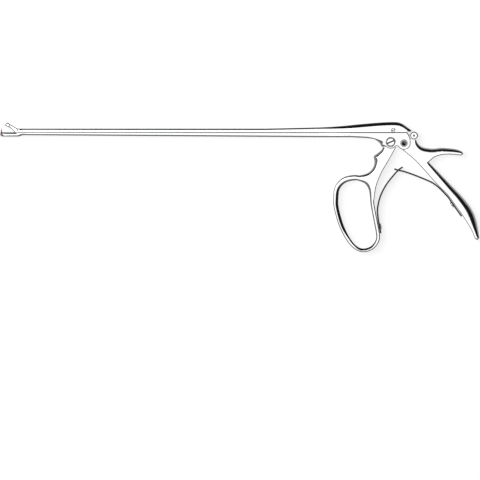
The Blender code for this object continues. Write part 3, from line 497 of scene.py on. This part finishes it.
def bore(name, x, y, radius, face=None, edge=0.0):
    low, high = through.values()
    profile = [(0, low), (radius, low), (radius, high), (0, high)]
    if face:  # a bevel around the hole in the face
        wide = radius + edge * 1.5
        profile[2:] = [(radius, face - edge * 0.6), (wide, face + edge * 0.3), (wide, high), (0, high)]
    return makeTurned(name, profile, upright(x, y), 48)


def makeLowerBar():
    bottom = [(tip["x"] + basket["length"], bars["frontBottom"]), (bars["flareStart"], bars["rearBottom"])]
    bottom += smooth(underside, steps=6)
    flareLength = bars["flareEnd"] - bars["flareStart"]
    stations = [-230.5, (tip["x"] + bars["flareStart"]) / 2]
    stations += [bars["flareStart"] + flareLength * step / 14 for step in range(15)]
    stations += [x for x, _ in bottom if x > bars["flareEnd"]]
    sections = basketSections()
    for x in stations:
        half = flare(x, bars["width"], body["depth"]) / 2
        low = readCurve(bottom, x)
        sections.append(barSection(x, low, lowerBarTop, half, bars["lowEdge"], bars["groove"]))
    piece = makeLoft("lowerBar", sections)
    combine(piece, makePlate("cheeks", cheekOutline(), *centred(body["depth"]), rise=2.2), operation="UNION")
    combine(piece, makeTooth(), operation="UNION")
    combine(piece, makeBox("cheekGap", (-8, 16), (-9, body["parting"] + 1), tongueSlot))
    combine(piece, makeBasketCavity(), screwSeat("pivotSeat", pivot),
            screwSeat("leverScrewSeat", leverScrewPlace),
            bore("jawPinBore", *jawPin, jawPins["hinge"] + gaps["bore"]))
    return finishPiece(piece, "satinSteel", "frame", "lower_shaft")


def makeTooth():
    base = body["parting"] - tooth["sunk"]
    inner = tip["x"] + basket["wall"] - 0.25
    middle = body["middle"]
    sections = []
    for y, front, rear, half in ((base, tip["x"] + 0.1, inner, tooth["baseHalf"]),
                                 (tooth["top"], inner - 0.3, inner - 0.15, tooth["tipHalf"])):
        sections.append([(front, y, middle - half * 0.55), (rear, y, middle - half),
                         (rear, y, middle + half), (front, y, middle + half * 0.55)])
    return makeLoft("tooth", sections)


def makeBasketCavity():
    half = basket["cavity"] / 2
    front = tip["x"] + basket["wall"]
    rear = jawPin[0] + 1.1
    outline = [(front + half - x, z) for x, z in arc(0, 0, half, -90, 90)] + [(rear, half), (rear, -half)]
    floor = [(x, basket["floor"], body["middle"] + z) for x, z in outline]
    mouth = [(x, body["parting"] + 1, body["middle"] + z) for x, z in outline]
    return makeLoft("basketCavity", [floor, mouth])


def makeUpperBar():
    low = body["parting"] + gaps["parting"]
    noseX = jawPin[0] - bars["forkLead"]
    forkEnd = noseX + bars["forkLength"]
    middle = (low + bars["top"]) / 2
    half = (bars["top"] - low) / 2
    sections = []
    for step in range(1, 13):
        share = 1 - math.cos(math.radians(90 * step / 12))
        rise = half * math.sqrt(1 - (1 - share) ** 2)
        sections.append(barSection(noseX + half * share, middle - rise, middle + rise, bars["width"] / 2,
                                   bars["slit"], bars["noseEdge"]))
    stations = [(forkEnd - 1.6, bars["top"]), (forkEnd - 1.0, bars["top"]),
                ((tip["x"] + bars["flareStart"]) / 2, bars["top"])]
    stations += [(x, bars["top"] + rise) for x, rise in smooth(sliderTop, steps=8)]
    for x, high in stations:
        width = flare(x, bars["width"], bars["sliderRear"]) / 2
        bottom = low + max(x - bars["cheekTop"], 0) * bars["tailSlope"]
        edge = bars["noseEdge"] if x < forkEnd - 1.3 else flare(x, bars["topEdge"], bars["humpEdge"])
        sections.append(barSection(x, bottom, high, width, bars["slit"], edge))
    piece = makeLoft("upperBar", sections)
    fork = makeBox("forkSlot", (noseX - 1, forkEnd), (body["parting"] - 1, bars["top"] + 1),
                   centred(bars["forkWidth"]))
    x, y = triggerPin["x"], triggerPin["y"]
    ends = (x - tongueReach - bars["tongueAhead"], x + tongueReach + bars["tongueBehind"])
    roof = math.hypot(x, y) + tongueReach + gaps["side"]
    slot = makeBox("tongueSlot", ends, (body["parting"] - 1, roof), tongueSlot)
    pinBore = bore("triggerPinBore", x, y, triggerPin["radius"] + gaps["bore"],
                   face=body["middle"] + bars["sliderRear"] / 2, edge=0.14)
    combine(piece, fork, slot, pinBore, bore("drivePinBore", *drivePin, jawPins["drive"] + gaps["bore"]))
    return finishPiece(piece, "satinSteel", "slide_bar", "slider")


makeLowerBar()
makeUpperBar()
print("bars of the shaft made")


# Upper jaw, when open, measured from its pin

jawShape = dict(
    top=((-6.2, 7.55), (-5.3, 6.5), (-3.9, 5.75), (-1.2, 4.15), (0.0, 3.6)),
    tail=((2.1, 3.5), (2.1, 2.15), (0.9, 1.75)),
    lower=((-2.0, 1.25), (-3.7, 3.2), (-5.6, 4.5), (-7.7, 5.35)),
    end=((-7.7, 5.35), (-8.25, 5.85), (-8.05, 6.4)),
    crown=((-8.05, 6.4), (-6.8, 7.4), (-6.2, 7.55)),
    bladeRear=((-6.22, 7.45), (-5.35, 6.45), (-4.7, 6.1)),
    bladeFront=((-5.7, 4.7), (-7.65, 5.43), (-8.18, 5.9), (-7.98, 6.35)),
    bladeCrown=((-6.8, 7.3),), thickness=2.6, bladeWidth=3.4, lug=0.8, rim=0.6, rise=0.42)


def aboutJawPin(outline):
    return [(jawPin[0] + x, jawPin[1] + y) for x, y in outline]


def makeJaw():
    look = dict(rim=jawShape["rim"], rise=jawShape["rise"])
    lug = arc(0, 0, jawShape["lug"], 5, -160)
    arm = joinRuns(smooth(jawShape["top"]), jawShape["tail"], lug, smooth(jawShape["lower"]),
                   smooth(jawShape["end"]), smooth(jawShape["crown"]))
    piece = makePlate("bitingJaw", aboutJawPin(arm), *centred(jawShape["thickness"]), **look)
    blade = joinRuns(smooth(jawShape["bladeRear"]), smooth(jawShape["bladeFront"]), jawShape["bladeCrown"])
    combine(piece, makePlate("blade", aboutJawPin(blade), *centred(jawShape["bladeWidth"]), **look),
            operation="UNION")
    track = sweptSlot(jawPin, drivePin, math.radians(tip["swing"]), jawPins["drive"] + gaps["pin"])
    combine(piece, bore("jawBore", *jawPin, jawPins["hinge"] + gaps["bore"]), makeCutter("driveTrack", track))
    return finishPiece(piece, "polishedSteel", "jaw", "upper_jaw")


def makePins():
    for name, place, radius, half, bodyName, node in (
            ("jawHingePin", jawPin, jawPins["hinge"], 2.3, "frame", "jaw_pin"),
            ("jawDrivePin", drivePin, jawPins["drive"], 2.1, "slide_bar", "jaw_drive_pin")):
        low, high = centred(2 * half)
        chamfer = 0.08
        profile = [(0, low), (radius - chamfer, low), (radius, low + chamfer), (radius, high - chamfer),
                   (radius - chamfer, high), (0, high)]
        finishPiece(makeTurned(name, profile, upright(*place), 32), "polishedSteel", bodyName, node)


makeJaw()
makePins()
print("jaw made")


# Ring handle: finger ring, limb, and the tongue that pushes the trigger pin

ringHole = ((-0.14, 1.0), (-0.62, 0.93), (-0.93, 0.74), (-1.0, 0.45), (-0.97, 0.18), (-0.73, -0.30),
            (-0.38, -0.70), (-0.03, -0.93), (0.33, -1.0), (0.72, -0.93), (0.96, -0.76), (0.99, -0.58),
            (0.86, -0.18), (0.70, 0.30), (0.63, 0.68), (0.45, 0.88), (0.17, 0.97))  # shares of its half sizes
limb = dict(
    rear=((-9.2, -28.4), (-6.0, -20.0), (-0.8, -10.9), (3.9, -2.4)),
    front=((-5.1, -2.2, 1.4), (-5.6, -4.7, 2.4), (-8.1, -6.9, 3.0), (-10.3, -8.4, 2.8)),
    corner=((-10.3, -8.4, 2.8), (-10.9, -9.2, 2.6), (-10.8, -10.2, 2.8)),
    hollow=((-10.8, -10.2, 2.8), (-10.35, -12.6, 3.0), (-11.0, -15.6, 3.0), (-13.1, -18.6, 2.6),
            (-16.5, -20.4, 2.0)),
    tongueFront=((-2.6, 4.0), (-3.4, -1.4), (-3.6, -4.6)),
    tongueRear=((2.6, -4.6), (3.6, -2.3), (3.6, 1.5), (4.3, 6.0)),
    joinsRing=(-19.8, -37.0), rise=3.4)
ringRim = dict(side=0.6, top=1.3, topFrom=-27.0, topOver=4.0)
holeRims = ((-180, 1.8), (-150, 1.7), (-120, 1.0), (-95, 0.95), (-70, 1.7), (-50, 1.5), (-30, 0.8), (0, 0.8),
            (35, 1.1), (60, 1.5), (85, 0.9), (120, 1.2), (150, 1.7), (180, 1.8))  # rim width by direction


def ringPoints():
    return [(ring["x"] + ring["halfWidth"] * u, ring["y"] + ring["halfLength"] * v) for u, v in ringHole]


def ringHoleOutline():
    outline = []
    for x, y in turnedLeft(smooth(ringPoints(), closed=True, steps=10)):
        direction = math.atan2((y - ring["y"]) / ring["halfLength"], (x - ring["x"]) / ring["halfWidth"])
        outline.append((x, y, readCurve(holeRims, math.degrees(direction)), 1))
    return outline


def ringBand(hole):
    amounts = []
    for x, y, *_ in hole:
        ahead = max((ring["x"] - x) / ring["halfWidth"], 0)
        above = max((y - ring["y"]) / ring["halfLength"], 0)
        amounts.append(ring["band"] + ring["frontBand"] * ahead + ring["topBand"] * above ** 4)
    band = []
    for x, y in grow(hole, amounts):
        atTop = min(max((y - ringRim["topFrom"]) / ringRim["topOver"], 0), 1)
        band.append((x, y, ringRim["side"] + (ringRim["top"] - ringRim["side"]) * atTop, 1 - atTop))
    return band


def ringHandleOutline(hole):
    band = ringBand(hole)
    onLimb = [x > limb["joinsRing"][0] and y > limb["joinsRing"][1] for x, y, *_ in band]
    start = next(index for index in range(len(band)) if onLimb[index - 1] and not onLimb[index])
    band = [band[(start + index) % len(band)] for index in range(len(band) - sum(onLimb))]
    hollow = smooth(roundRims(limb["hollow"]) + [band[0]])
    rear = rimmed(smooth((band[-1][:2], *limb["rear"])), 0.45, 1)
    front = roundRims(smooth(limb["front"]) + smooth(limb["corner"]))
    return joinRuns(band, rear, front, hollow)


# What the limb's full depth gives up to the cheeks: round the pivot, and where their front corner passes
def shoulderOutline():
    corner = cheekFront[-1]
    reach = math.hypot(corner[0], corner[1]) + gaps["swing"]
    direction = math.degrees(math.atan2(-corner[1], -corner[0])) + 180
    swing = math.degrees(stroke / triggerPin["y"])
    lugGap = body["lug"] + gaps["swing"]
    swept = arc(0, 0, reach, direction - swing - 4, direction + 2, 12)
    return swept + arc(0, 0, lugGap, 232, 312) + [(7.0, -lugGap), (7.0, 12.0), (swept[0][0] - 1.5, 12.0)]


def makeRingHandle():
    hole = ringHoleOutline()
    piece = makePlate("ringHandle", ringHandleOutline(hole), *centred(ring["depth"]), holes=[hole],
                      rise=limb["rise"])
    low, high = centred(body["tongue"])
    combine(piece, makeCutter("shoulderAbove", shoulderOutline(), low=high),
            makeCutter("shoulderBelow", shoulderOutline(), high=low))
    x, y = triggerPin["x"], triggerPin["y"]
    crown = arc(x, y, tongueReach, 15, 165)
    tongue = joinRuns(crown, smooth(limb["tongueFront"]), smooth(limb["tongueRear"]))
    combine(piece, makePlate("tongue", tongue, low + 0.01, high - 0.01, rim=0.1, rise=0.1), operation="UNION")
    track = sweptSlot((0, 0), (x, y), stroke / y, triggerPin["radius"] + gaps["pin"])
    combine(piece, bore("pivotBore", 0, 0, pivot["shank"] + gaps["bore"]), makeCutter("triggerTrack", track))
    return finishPiece(piece, "satinSteel", "trigger", "ring_handle")


# Fixed lever with its thumb spur: a third number is the width of the rounded rim there

lever = dict(
    front=((5.4, -3.4), (16.0, -12.2), (29.0, -26.5), (36.1, -33.6), (40.0, -39.0), (45.6, -46.8),
           (51.0, -55.6), (53.3, -61.0)),
    tip=((53.3, -61.0, 0.6), (54.8, -62.2, 0.9), (56.4, -61.0, 1.2)),
    rear=((56.4, -61.0, 1.6), (54.3, -49.9, 3.9), (51.0, -42.2, 3.9), (45.4, -34.9, 3.4), (39.0, -28.2, 2.9),
          (32.3, -21.2, 2.3), (24.2, -12.9, 1.5)),
    spurUnder=((24.2, -12.9), (27.7, -9.8), (32.8, -8.2), (39.0, -8.0), (44.6, -8.6)),
    spurTip=((44.6, -8.6, 0.6), (46.0, -7.5, 0.9), (45.2, -6.0, 1.4)),
    spurTop=((45.2, -6.0, 1.4), (41.0, -4.5, 2.3), (32.8, -3.7, 2.8), (26.4, -4.2, 2.8), (20.4, -3.3, 2.6),
             (17.2, -0.9, 1.8)),
    tang=((10.2, 4.9), (6.6, 2.9), (5.3, 0.4), (5.1, -2.2), (5.4, -3.4)), rise=3.5)


def makeLever():
    knuckle = rimmed(arc(stopPlace["x"], stopPlace["y"], stopPlace["head"], -60, 165), 0.5, 1)
    rounded = [roundRims(smooth(lever[run])) for run in ("tip", "rear", "spurTip")]
    spurTop = smooth(roundRims(lever["spurTop"]) + [knuckle[0]])
    outline = joinRuns(rimmed(smooth(lever["front"]), 0.45, 1), *rounded[:2],
                       rimmed(smooth(lever["spurUnder"]), 0.55, 1), rounded[2], spurTop, knuckle,
                       rimmed(smooth(lever["tang"]), 0.5, 1))
    piece = makePlate("fixedLever", outline, *centred(leverDepth), rise=lever["rise"])
    low, high = centred(body["tongue"])
    clear = grow(turnedLeft(cheekOutline()), gaps["seat"])
    combine(piece, makeCutter("seatAbove", clear, low=high), makeCutter("seatBelow", clear, high=low))
    place = leverScrewPlace
    seat = dict(stopPlace, head=stopPlace["head"] + 0.12)
    combine(piece, bore("tangBore", place["x"], place["y"], place["shank"] + gaps["bore"]),
            screwSeat("knuckleSeat", seat, stopScrew["height"]))
    return finishPiece(piece, "satinSteel", "frame", "rear_handle")


makeRingHandle()
makeLever()
print("handles made")


# Geometry Nodes for what follows a path or repeats

def newTree(name, inputs):
    tree = bpy.data.node_groups.new(name, "GeometryNodeTree")
    kinds = {float: "NodeSocketFloat", int: "NodeSocketInt", tuple: "NodeSocketVector"}
    tree.interface.new_socket("Geometry", in_out="INPUT", socket_type="NodeSocketGeometry")
    for label, value in inputs.items():
        kind = kinds.get(type(value), "NodeSocketMaterial")
        tree.interface.new_socket(label, in_out="INPUT", socket_type=kind)
    tree.interface.new_socket("Geometry", in_out="OUTPUT", socket_type="NodeSocketGeometry")
    return tree, addNode(tree, "NodeGroupInput", -900, 0).outputs, addNode(tree, "NodeGroupOutput", 900, 0)


def closeTree(tree, given, shape, end):
    whole = addNode(tree, "GeometryNodeRealizeInstances", 500, 0, {"Geometry": shape})
    painted = addNode(tree, "GeometryNodeSetMaterial", 700, 0, {
        "Geometry": whole, "Material": given["Material"]})
    feed(end, {"Geometry": painted})
    return tree


def meshNode(tree, kind, **sizes):
    given = {label.replace("_", " "): size for label, size in sizes.items()}
    return addNode(tree, "GeometryNodeMesh" + kind, -600, 0, given)


def moved(tree, shape, **changes):
    return addNode(tree, "GeometryNodeTransform", -100, 0, {"Geometry": shape, **changes})


def joined(tree, operation, given):
    return addNode(tree, "GeometryNodeMeshBoolean", 200, 0, given, operation=operation, solver="EXACT")


def runTree(name, tree, inputs, points=((0, 0, 0),), edges=()):
    piece = makePiece(name, points, [], edges)
    modifier = piece.modifiers.new(tree.name, "NODES")
    modifier.node_group = tree
    for item in tree.interface.items_tree:
        if item.in_out == "INPUT" and item.name in inputs:
            modifier[item.identifier] = inputs[item.name]
    return bakeModifiers(piece)


# Slotted screws: shank, head with a chamfered crown, and a slot across it
def slottedScrewTree(inputs):
    tree, given, end = newTree("slottedScrew", inputs)

    def reckon(operation, *terms):
        return addNode(tree, "ShaderNodeMath", -600, -600, dict(enumerate(terms)), operation=operation)

    def way(x, y, z):
        return addNode(tree, "ShaderNodeCombineXYZ", -950, -300, {"X": x, "Y": y, "Z": z})

    length, radius, height, crown = [
        given[label] for label in ("Shank Length", "Head Radius", "Head Height", "Crown")]
    depth = reckon("ADD", length, 0.0001)  # runs a little into the head
    plain = reckon("SUBTRACT", height, crown)
    narrowed = reckon("SUBTRACT", radius, reckon("MULTIPLY", crown, 1.5))
    solids = ((meshNode(tree, "Cylinder", Vertices=64, Radius=given["Shank Radius"], Depth=depth),
               reckon("MULTIPLY", depth, 0.5)),
              (meshNode(tree, "Cylinder", Vertices=96, Radius=radius, Depth=plain),
               reckon("ADD", length, reckon("MULTIPLY", plain, 0.5))),
              (meshNode(tree, "Cone", Vertices=96, Radius_Top=narrowed, Radius_Bottom=radius, Depth=crown),
               reckon("ADD", length, plain)))
    stacked = [moved(tree, solid, Translation=way(0, 0, up)) for solid, up in solids]
    screw = joined(tree, "UNION", {"Mesh 2": stacked})

    # A square bar on its edge cuts a groove with sloping sides
    side = reckon("MULTIPLY", given["Slot Width"], math.sqrt(0.5))
    bar = meshNode(tree, "Cube", Size=way(reckon("MULTIPLY", radius, 3), side, side))
    tilted = moved(tree, bar, Rotation=way(math.pi / 4, 0, 0))
    groove = moved(tree, tilted, Scale=way(1, 1, given["Slot Slope"]))
    placed = moved(tree, groove, Translation=way(0, 0, reckon("ADD", length, height)),
                   Rotation=way(0, 0, given["Slot Turn"]))
    screw = joined(tree, "DIFFERENCE", {"Mesh 1": screw, "Mesh 2": placed})
    return closeTree(tree, given, moved(tree, screw, Translation=given["Place"]), end)


screwSizes = {
    "pivotScrew": dict(node="pivot_screw", body="frame", place=(pivot["x"], pivot["y"], 0.0), top=8.35,
                       head=pivot["head"], shank=pivot["shank"], headHeight=1.65, crown=0.35, slotWidth=1.0,
                       slope=0.68, turn=24),
    "triggerPin": dict(node="trigger_pin", body="slide_bar", place=(triggerPin["x"], triggerPin["y"], 0.5),
                       top=7.5, head=triggerPin["radius"], shank=triggerPin["radius"] - 0.01, headHeight=1.0,
                       crown=0.2, slotWidth=0.6, slope=0.68, turn=15),
}


def makeSlottedScrews():
    tree = None
    for name, size in screwSizes.items():
        shankLength = size["top"] - size["headHeight"] - size["place"][2]
        inputs = {"Head Radius": size["head"] * mm, "Head Height": size["headHeight"] * mm,
                  "Crown": size["crown"] * mm, "Shank Radius": size["shank"] * mm,
                  "Shank Length": shankLength * mm, "Slot Width": size["slotWidth"] * mm,
                  "Slot Slope": size["slope"], "Slot Turn": math.radians(size["turn"]),
                  "Place": tuple(part * mm for part in size["place"]), "Material": steels["polishedSteel"]}
        tree = tree or slottedScrewTree(inputs)
        finishPiece(runTree(name, tree, inputs), "polishedSteel", size["body"], size["node"])


makeSlottedScrews()
print("slotted screws made")


# Lever screw: dished head in its seat, with a slot

leverScrew = dict(low=1.3, top=0.1, edge=0.05, rim=0.12, dish=1.05, slot=0.45, slotDepth=1.3, turn=-38)


def makeLeverScrew():
    place = leverScrewPlace
    size = leverScrew
    top = body["depth"] - size["top"]
    low = body["depth"] - size["low"]
    profile = [(0, 0), (place["shank"], 0), (place["shank"], low), (place["head"], low),
               (place["head"], top - size["edge"]), (place["head"] - size["edge"], top),
               (place["head"] - size["rim"], top), (0.15, top - size["dish"] + 0.03), (0, top - size["dish"])]
    piece = makeTurned("leverScrew", profile, upright(place["x"], place["y"]), 96)
    turned = upright(place["x"], place["y"], size["turn"])
    section = ((0, -size["slotDepth"]), (size["slot"], -0.4), (size["slot"], 1), (-size["slot"], 1),
               (-size["slot"], -0.4))
    combine(piece, makeLoft("leverScrewSlot", [[turned @ Vector((x, y, top + z)) for y, z in section]
                                               for x in (-3, 3)]))
    return finishPiece(piece, "polishedSteel", "frame", "rear_handle_screw")


makeLeverScrew()


# Stop screw: a round body with knurled teeth about it and a centre mark

def knurlTree(inputs):
    tree, given, end = newTree("knurledScrew", inputs)
    radius, height = given["Core Radius"], given["Height"]
    core = meshNode(tree, "Cylinder", Vertices=108, Radius=radius, Depth=height)
    circle = meshNode(tree, "Circle", Vertices=given["Teeth"], Radius=radius)
    tooth = meshNode(tree, "Cylinder", Vertices=16, Radius=given["Tooth Radius"], Depth=height)
    spread = addNode(tree, "GeometryNodeInstanceOnPoints", -300, -100, {"Points": circle, "Instance": tooth})
    teeth = addNode(tree, "GeometryNodeRealizeInstances", -150, -100, {"Geometry": spread})
    screw = joined(tree, "UNION", {"Mesh 2": [core, teeth]})
    return closeTree(tree, given, moved(tree, screw, Translation=given["Place"]), end)


def makeStopScrew():
    x, y, head, shank = stopPlace.values()
    height = stopScrew["height"]
    top = body["depth"]
    low = top - height
    tooth = stopScrew["tooth"]
    inputs = {"Core Radius": (head - tooth) * mm, "Height": height * mm, "Teeth": stopScrew["teeth"],
              "Tooth Radius": tooth * mm, "Place": (x * mm, y * mm, (low + height / 2) * mm),
              "Material": steels["polishedSteel"]}
    piece = runTree("stopScrew", knurlTree(inputs), inputs)
    shankLow = centred(leverDepth)[0] + gaps["seat"]
    profile = [(0, shankLow), (shank, shankLow), (shank, low + 0.5), (0, low + 0.5)]
    place = upright(x, y)
    combine(piece, makeTurned("stopShank", profile, place), operation="UNION")
    wide = stopScrew["mark"]
    mark = [(0, top - 0.55), (0.25, top - 0.45), (wide, top + 0.01), (wide, top + 1), (0, top + 1)]
    outer = head + 0.4
    crown = [(head - stopScrew["crown"], top + 0.07), (outer, top - 0.82), (outer, top + 0.07)]
    combine(piece, makeTurned("stopMark", mark, place), makeCollar("stopCrown", crown, place))
    return finishPiece(piece, "polishedSteel", "frame", "stop_screw")


def makeCollar(name, profile, place, segments=96):  # a turned ring whose profile is a closed loop
    points = []
    faces = []
    count = len(profile)
    for step in range(segments):
        turn = upright(0, 0, 360 * step / segments)
        points += [place @ turn @ Vector((radius, 0, z)) for radius, z in profile]
        for index in range(count):
            a, b = [step * count + spot for spot in (index, (index + 1) % count)]
            faces.append((a, b, (b + count) % (segments * count), (a + count) % (segments * count)))
    return tidyNormals(makePiece(name, points, faces))


makeStopScrew()
print("stop screw made")


# Leaf springs, swept along their paths

leaves = dict(width=5.0, tongue=2.2, rounding=0.3, screwHead=2.1, screwShank=0.8, headHeight=0.7,
              slotLength=3.4, slotHalf=1.4)
leafSides = {
    "front": dict(free=((-8.4, -43.5), (-7.6, -38.0), (-5.8, -32.6), (-2.8, -27.1), (0.6, -22.6)),
                  tip=(7.7, -15.9), screwDepth=ring["band"] * 0.7 + gaps["seat"],
                  holder="trigger", other="frame"),
    "rear": dict(free=((27.6, -26.6), (17.3, -21.9), (9.0, -18.9)), tip=(2.3, -17.1), screwDepth=2.4,
                 holder="frame", other="trigger"),
}


# A rounded strip swept along the path that it is given
def leafTree(inputs):
    tree, given, end = newTree("leafSpring", inputs)
    path = addNode(tree, "GeometryNodeMeshToCurve", -600, 0, {"Mesh": given["Geometry"]})
    level = addNode(tree, "GeometryNodeSetCurveNormal", -400, 0, {"Curve": path}, mode="Z_UP")
    section = addNode(tree, "GeometryNodeCurvePrimitiveQuadrilateral", -600, -300, {
        "Width": given["Thickness"], "Height": given["Width"]})
    rounded = addNode(tree, "GeometryNodeFilletCurve", -400, -300, {
        "Curve": section, "Radius": given["Rounding"], "Count": 6}, mode="POLY")
    sweep = addNode(tree, "GeometryNodeCurveToMesh", 0, 0, {
        "Curve": level, "Profile Curve": rounded, "Fill Caps": True})
    return closeTree(tree, given, sweep, end)


def seatPath(edge, offset):  # a path along an edge, a little off it, and the way out of the edge
    start = Vector(edge[0])
    along = (Vector(edge[-1]) - start).normalized()
    outward = Vector((along.y, -along.x))
    return [tuple(Vector(point) + outward * offset) for point in edge], outward


def leafSeats():
    front, frontOut = seatPath(ringPoints()[11:13], ring["band"] + gaps["seat"] + leafThickness / 2 + 0.05)
    front.insert(1, tuple((Vector(front[0]) + Vector(front[1])) / 2))
    rear, rearOut = seatPath(lever["front"][3:6], leafThickness / 2 + 2 * gaps["seat"])
    return {"front": (front, frontOut), "rear": (rear[::-1], rearOut)}


def leafScrew(side, point, outward):
    size = leafSides[side]
    head = leafThickness / 2 + gaps["bore"]
    tall = leaves["headHeight"]
    wide = leaves["screwHead"]
    shank = leaves["screwShank"]
    profile = [(0, -size["screwDepth"]), (shank, -size["screwDepth"]), (shank, head), (wide, head),
               (wide, head + 0.3 * tall)]
    profile += [(wide * math.cos(turn), head + tall * (0.3 + 0.7 * math.sin(turn)))
                for turn in (math.radians(15 * step) for step in range(1, 6))]
    piece = makeTurned(side + "LeafScrew", profile + [(0, head + tall)], facing(point, outward))
    return finishPiece(piece, "polishedSteel", size["holder"], side + "_spring_screw")


# The front leaf ends in a tongue, which passes the rear leaf through its slot
def leafCuts(side, crossing):
    half = leaves["tongue"] / 2
    middle = body["middle"]
    if side == "front":
        return [makeBox(f"tongueSide{number}", (-3.2, 9), (-3, 3), span, crossing)
                for number, span in enumerate(((-1, middle - half), (middle + half, 9)))]
    length = leaves["slotLength"] / 2
    return [makeBox("leafSlot", (-length, length), (-2, 2), centred(2 * leaves["slotHalf"]), crossing)]


def makeLeaves():
    tree = None
    inputs = {"Thickness": leafThickness * mm, "Width": leaves["width"] * mm,
              "Rounding": leaves["rounding"] * mm, "Material": steels["springSteel"]}
    for side, (seat, outward) in leafSeats().items():
        size = leafSides[side]
        points = [(x, y, body["middle"]) for x, y in smooth([*seat, *size["free"], leavesMeet, size["tip"]])]
        links = [(index, index + 1) for index in range(len(points) - 1)]
        tree = tree or leafTree(inputs)
        piece = tidyNormals(runTree(side + "Leaf", tree, inputs, points, links))
        slope = math.atan2(size["tip"][1] - leavesMeet[1], size["tip"][0] - leavesMeet[0])
        hole = leaves["screwShank"] + gaps["bore"]
        profile = [(0, -4), (hole, -4), (hole, 4), (0, 4)]
        combine(piece, *leafCuts(side, upright(*leavesMeet, math.degrees(slope))),
                makeTurned(side + "LeafBore", profile, facing(seat[1], outward)))
        finishPiece(piece, "springSteel", None, side + "_spring")
        leafScrew(side, seat[1], outward)
        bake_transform(piece)


makeLeaves()
print("leaf springs made")


# Camera straight above, in the drawing's frame

view = dict(pixel=0.635 * mm, pixels=480, pivotPixel=(390.7, 142.0), height=0.6)
keyLamp = dict(place=(-0.45, 0.25, 0.95), aim=(-0.1, -0.02, 0), size=0.7, power=3)


def makeCamera():
    camera = bpy.data.cameras.new("camera")
    camera.type = "ORTHO"
    camera.ortho_scale = view["pixel"] * view["pixels"]
    camera.clip_start = 0.01
    camera.clip_end = 10
    holder = addObject("camera", camera)
    middle = view["pixels"] / 2
    holder.location = ((middle - view["pivotPixel"][0]) * view["pixel"],
                       (view["pivotPixel"][1] - middle) * view["pixel"], view["height"])
    bpy.context.scene.camera = holder


def makeLamp():
    light = bpy.data.lights.new("keyLamp", "AREA")
    light.energy = keyLamp["power"]
    light.size = keyLamp["size"]
    lamp = addObject("keyLamp", light)
    lamp.location = keyLamp["place"]
    aim = Vector(keyLamp["aim"]) - Vector(keyLamp["place"])
    lamp.rotation_euler = aim.to_track_quat("-Z", "Y").to_euler()


floorLook = dict(size=6.0, level=-0.0001, colour=0.8, seenGlow=0.76, mirroredGlow=0.12)


def makeFloor():
    bpy.ops.mesh.primitive_plane_add(size=floorLook["size"], location=(-0.1, -0.06, floorLook["level"]))
    floor = bpy.context.object
    floor.name = "floor"
    material = bpy.data.materials.new("paleFloor")
    material.use_nodes = True
    tree = material.node_tree
    shader = feed(tree.nodes["Principled BSDF"], {
        "Base Color": (*[floorLook["colour"]] * 3, 1), "Roughness": 0.9, "Specular IOR Level": 0.0})
    path = addNode(tree, "ShaderNodeLightPath", -600, -400).outputs
    mirrored = addNode(tree, "ShaderNodeMath", -450, -500, {
        0: path["Is Glossy Ray"], 1: path["Is Transmission Ray"]}, operation="MAXIMUM")
    faint = addNode(tree, "ShaderNodeMath", -300, -500, {
        0: mirrored, 1: floorLook["mirroredGlow"]}, operation="MULTIPLY")
    lift = addNode(tree, "ShaderNodeMath", -150, -400, {
        0: path["Is Camera Ray"], 1: floorLook["seenGlow"], 2: faint}, operation="MULTIPLY_ADD")
    glow = addNode(tree, "ShaderNodeEmission", 0, -400, {"Strength": lift})
    total = addNode(tree, "ShaderNodeAddShader", 300, 0, {0: shader, 1: glow})
    feed(tree.nodes["Material Output"], {"Surface": total})
    floor.data.materials.append(material)


# A bright ceiling over dark walls, darkest towards the upper right, which draws the steel's edges
room = dict(ceiling=1.4, wallDark=0.01, wallPale=0.22, ceilingStarts=0.95, ceilingFull=0.9995,
            darkSide=(0.6, 0.8, 0.0))


def makeWorld():
    world = bpy.data.worlds.new("studio")
    bpy.context.scene.world = world
    world.use_nodes = True
    tree = world.node_tree
    way = addNode(tree, "ShaderNodeTexCoord", -1200, 0).outputs["Generated"]
    split = addNode(tree, "ShaderNodeSeparateXYZ", -1000, 100, {0: way})
    side = addNode(tree, "ShaderNodeVectorMath", -1000, -150, {0: way, 1: room["darkSide"]},
                   operation="DOT_PRODUCT")
    wall = addNode(tree, "ShaderNodeMapRange", -750, -150, {
        "Value": side, "From Min": -1.0, "From Max": 0.4, "To Min": room["wallPale"],
        "To Max": room["wallDark"]})
    above = addNode(tree, "ShaderNodeMapRange", -750, 100, {
        "Value": split.outputs["Z"], "From Min": room["ceilingStarts"], "From Max": room["ceilingFull"]},
        interpolation_type="SMOOTHSTEP")
    level = addNode(tree, "ShaderNodeMix", -450, 0, {"Factor": above, "A": wall, "B": room["ceiling"]},
                    data_type="FLOAT")
    path = addNode(tree, "ShaderNodeLightPath", -450, 300).outputs
    shown = addNode(tree, "ShaderNodeMix", -200, 100, {  # white where the camera sees it
        "Factor": path["Is Camera Ray"], "A": level, "B": 1.0}, data_type="FLOAT")
    feed(tree.nodes["Background"], {"Color": (1, 1, 1, 1), "Strength": shown})


makeCamera()
makeFloor()
makeWorld()
makeLamp()
bpy.context.scene.view_settings.view_transform = "Standard"
print("stage set")
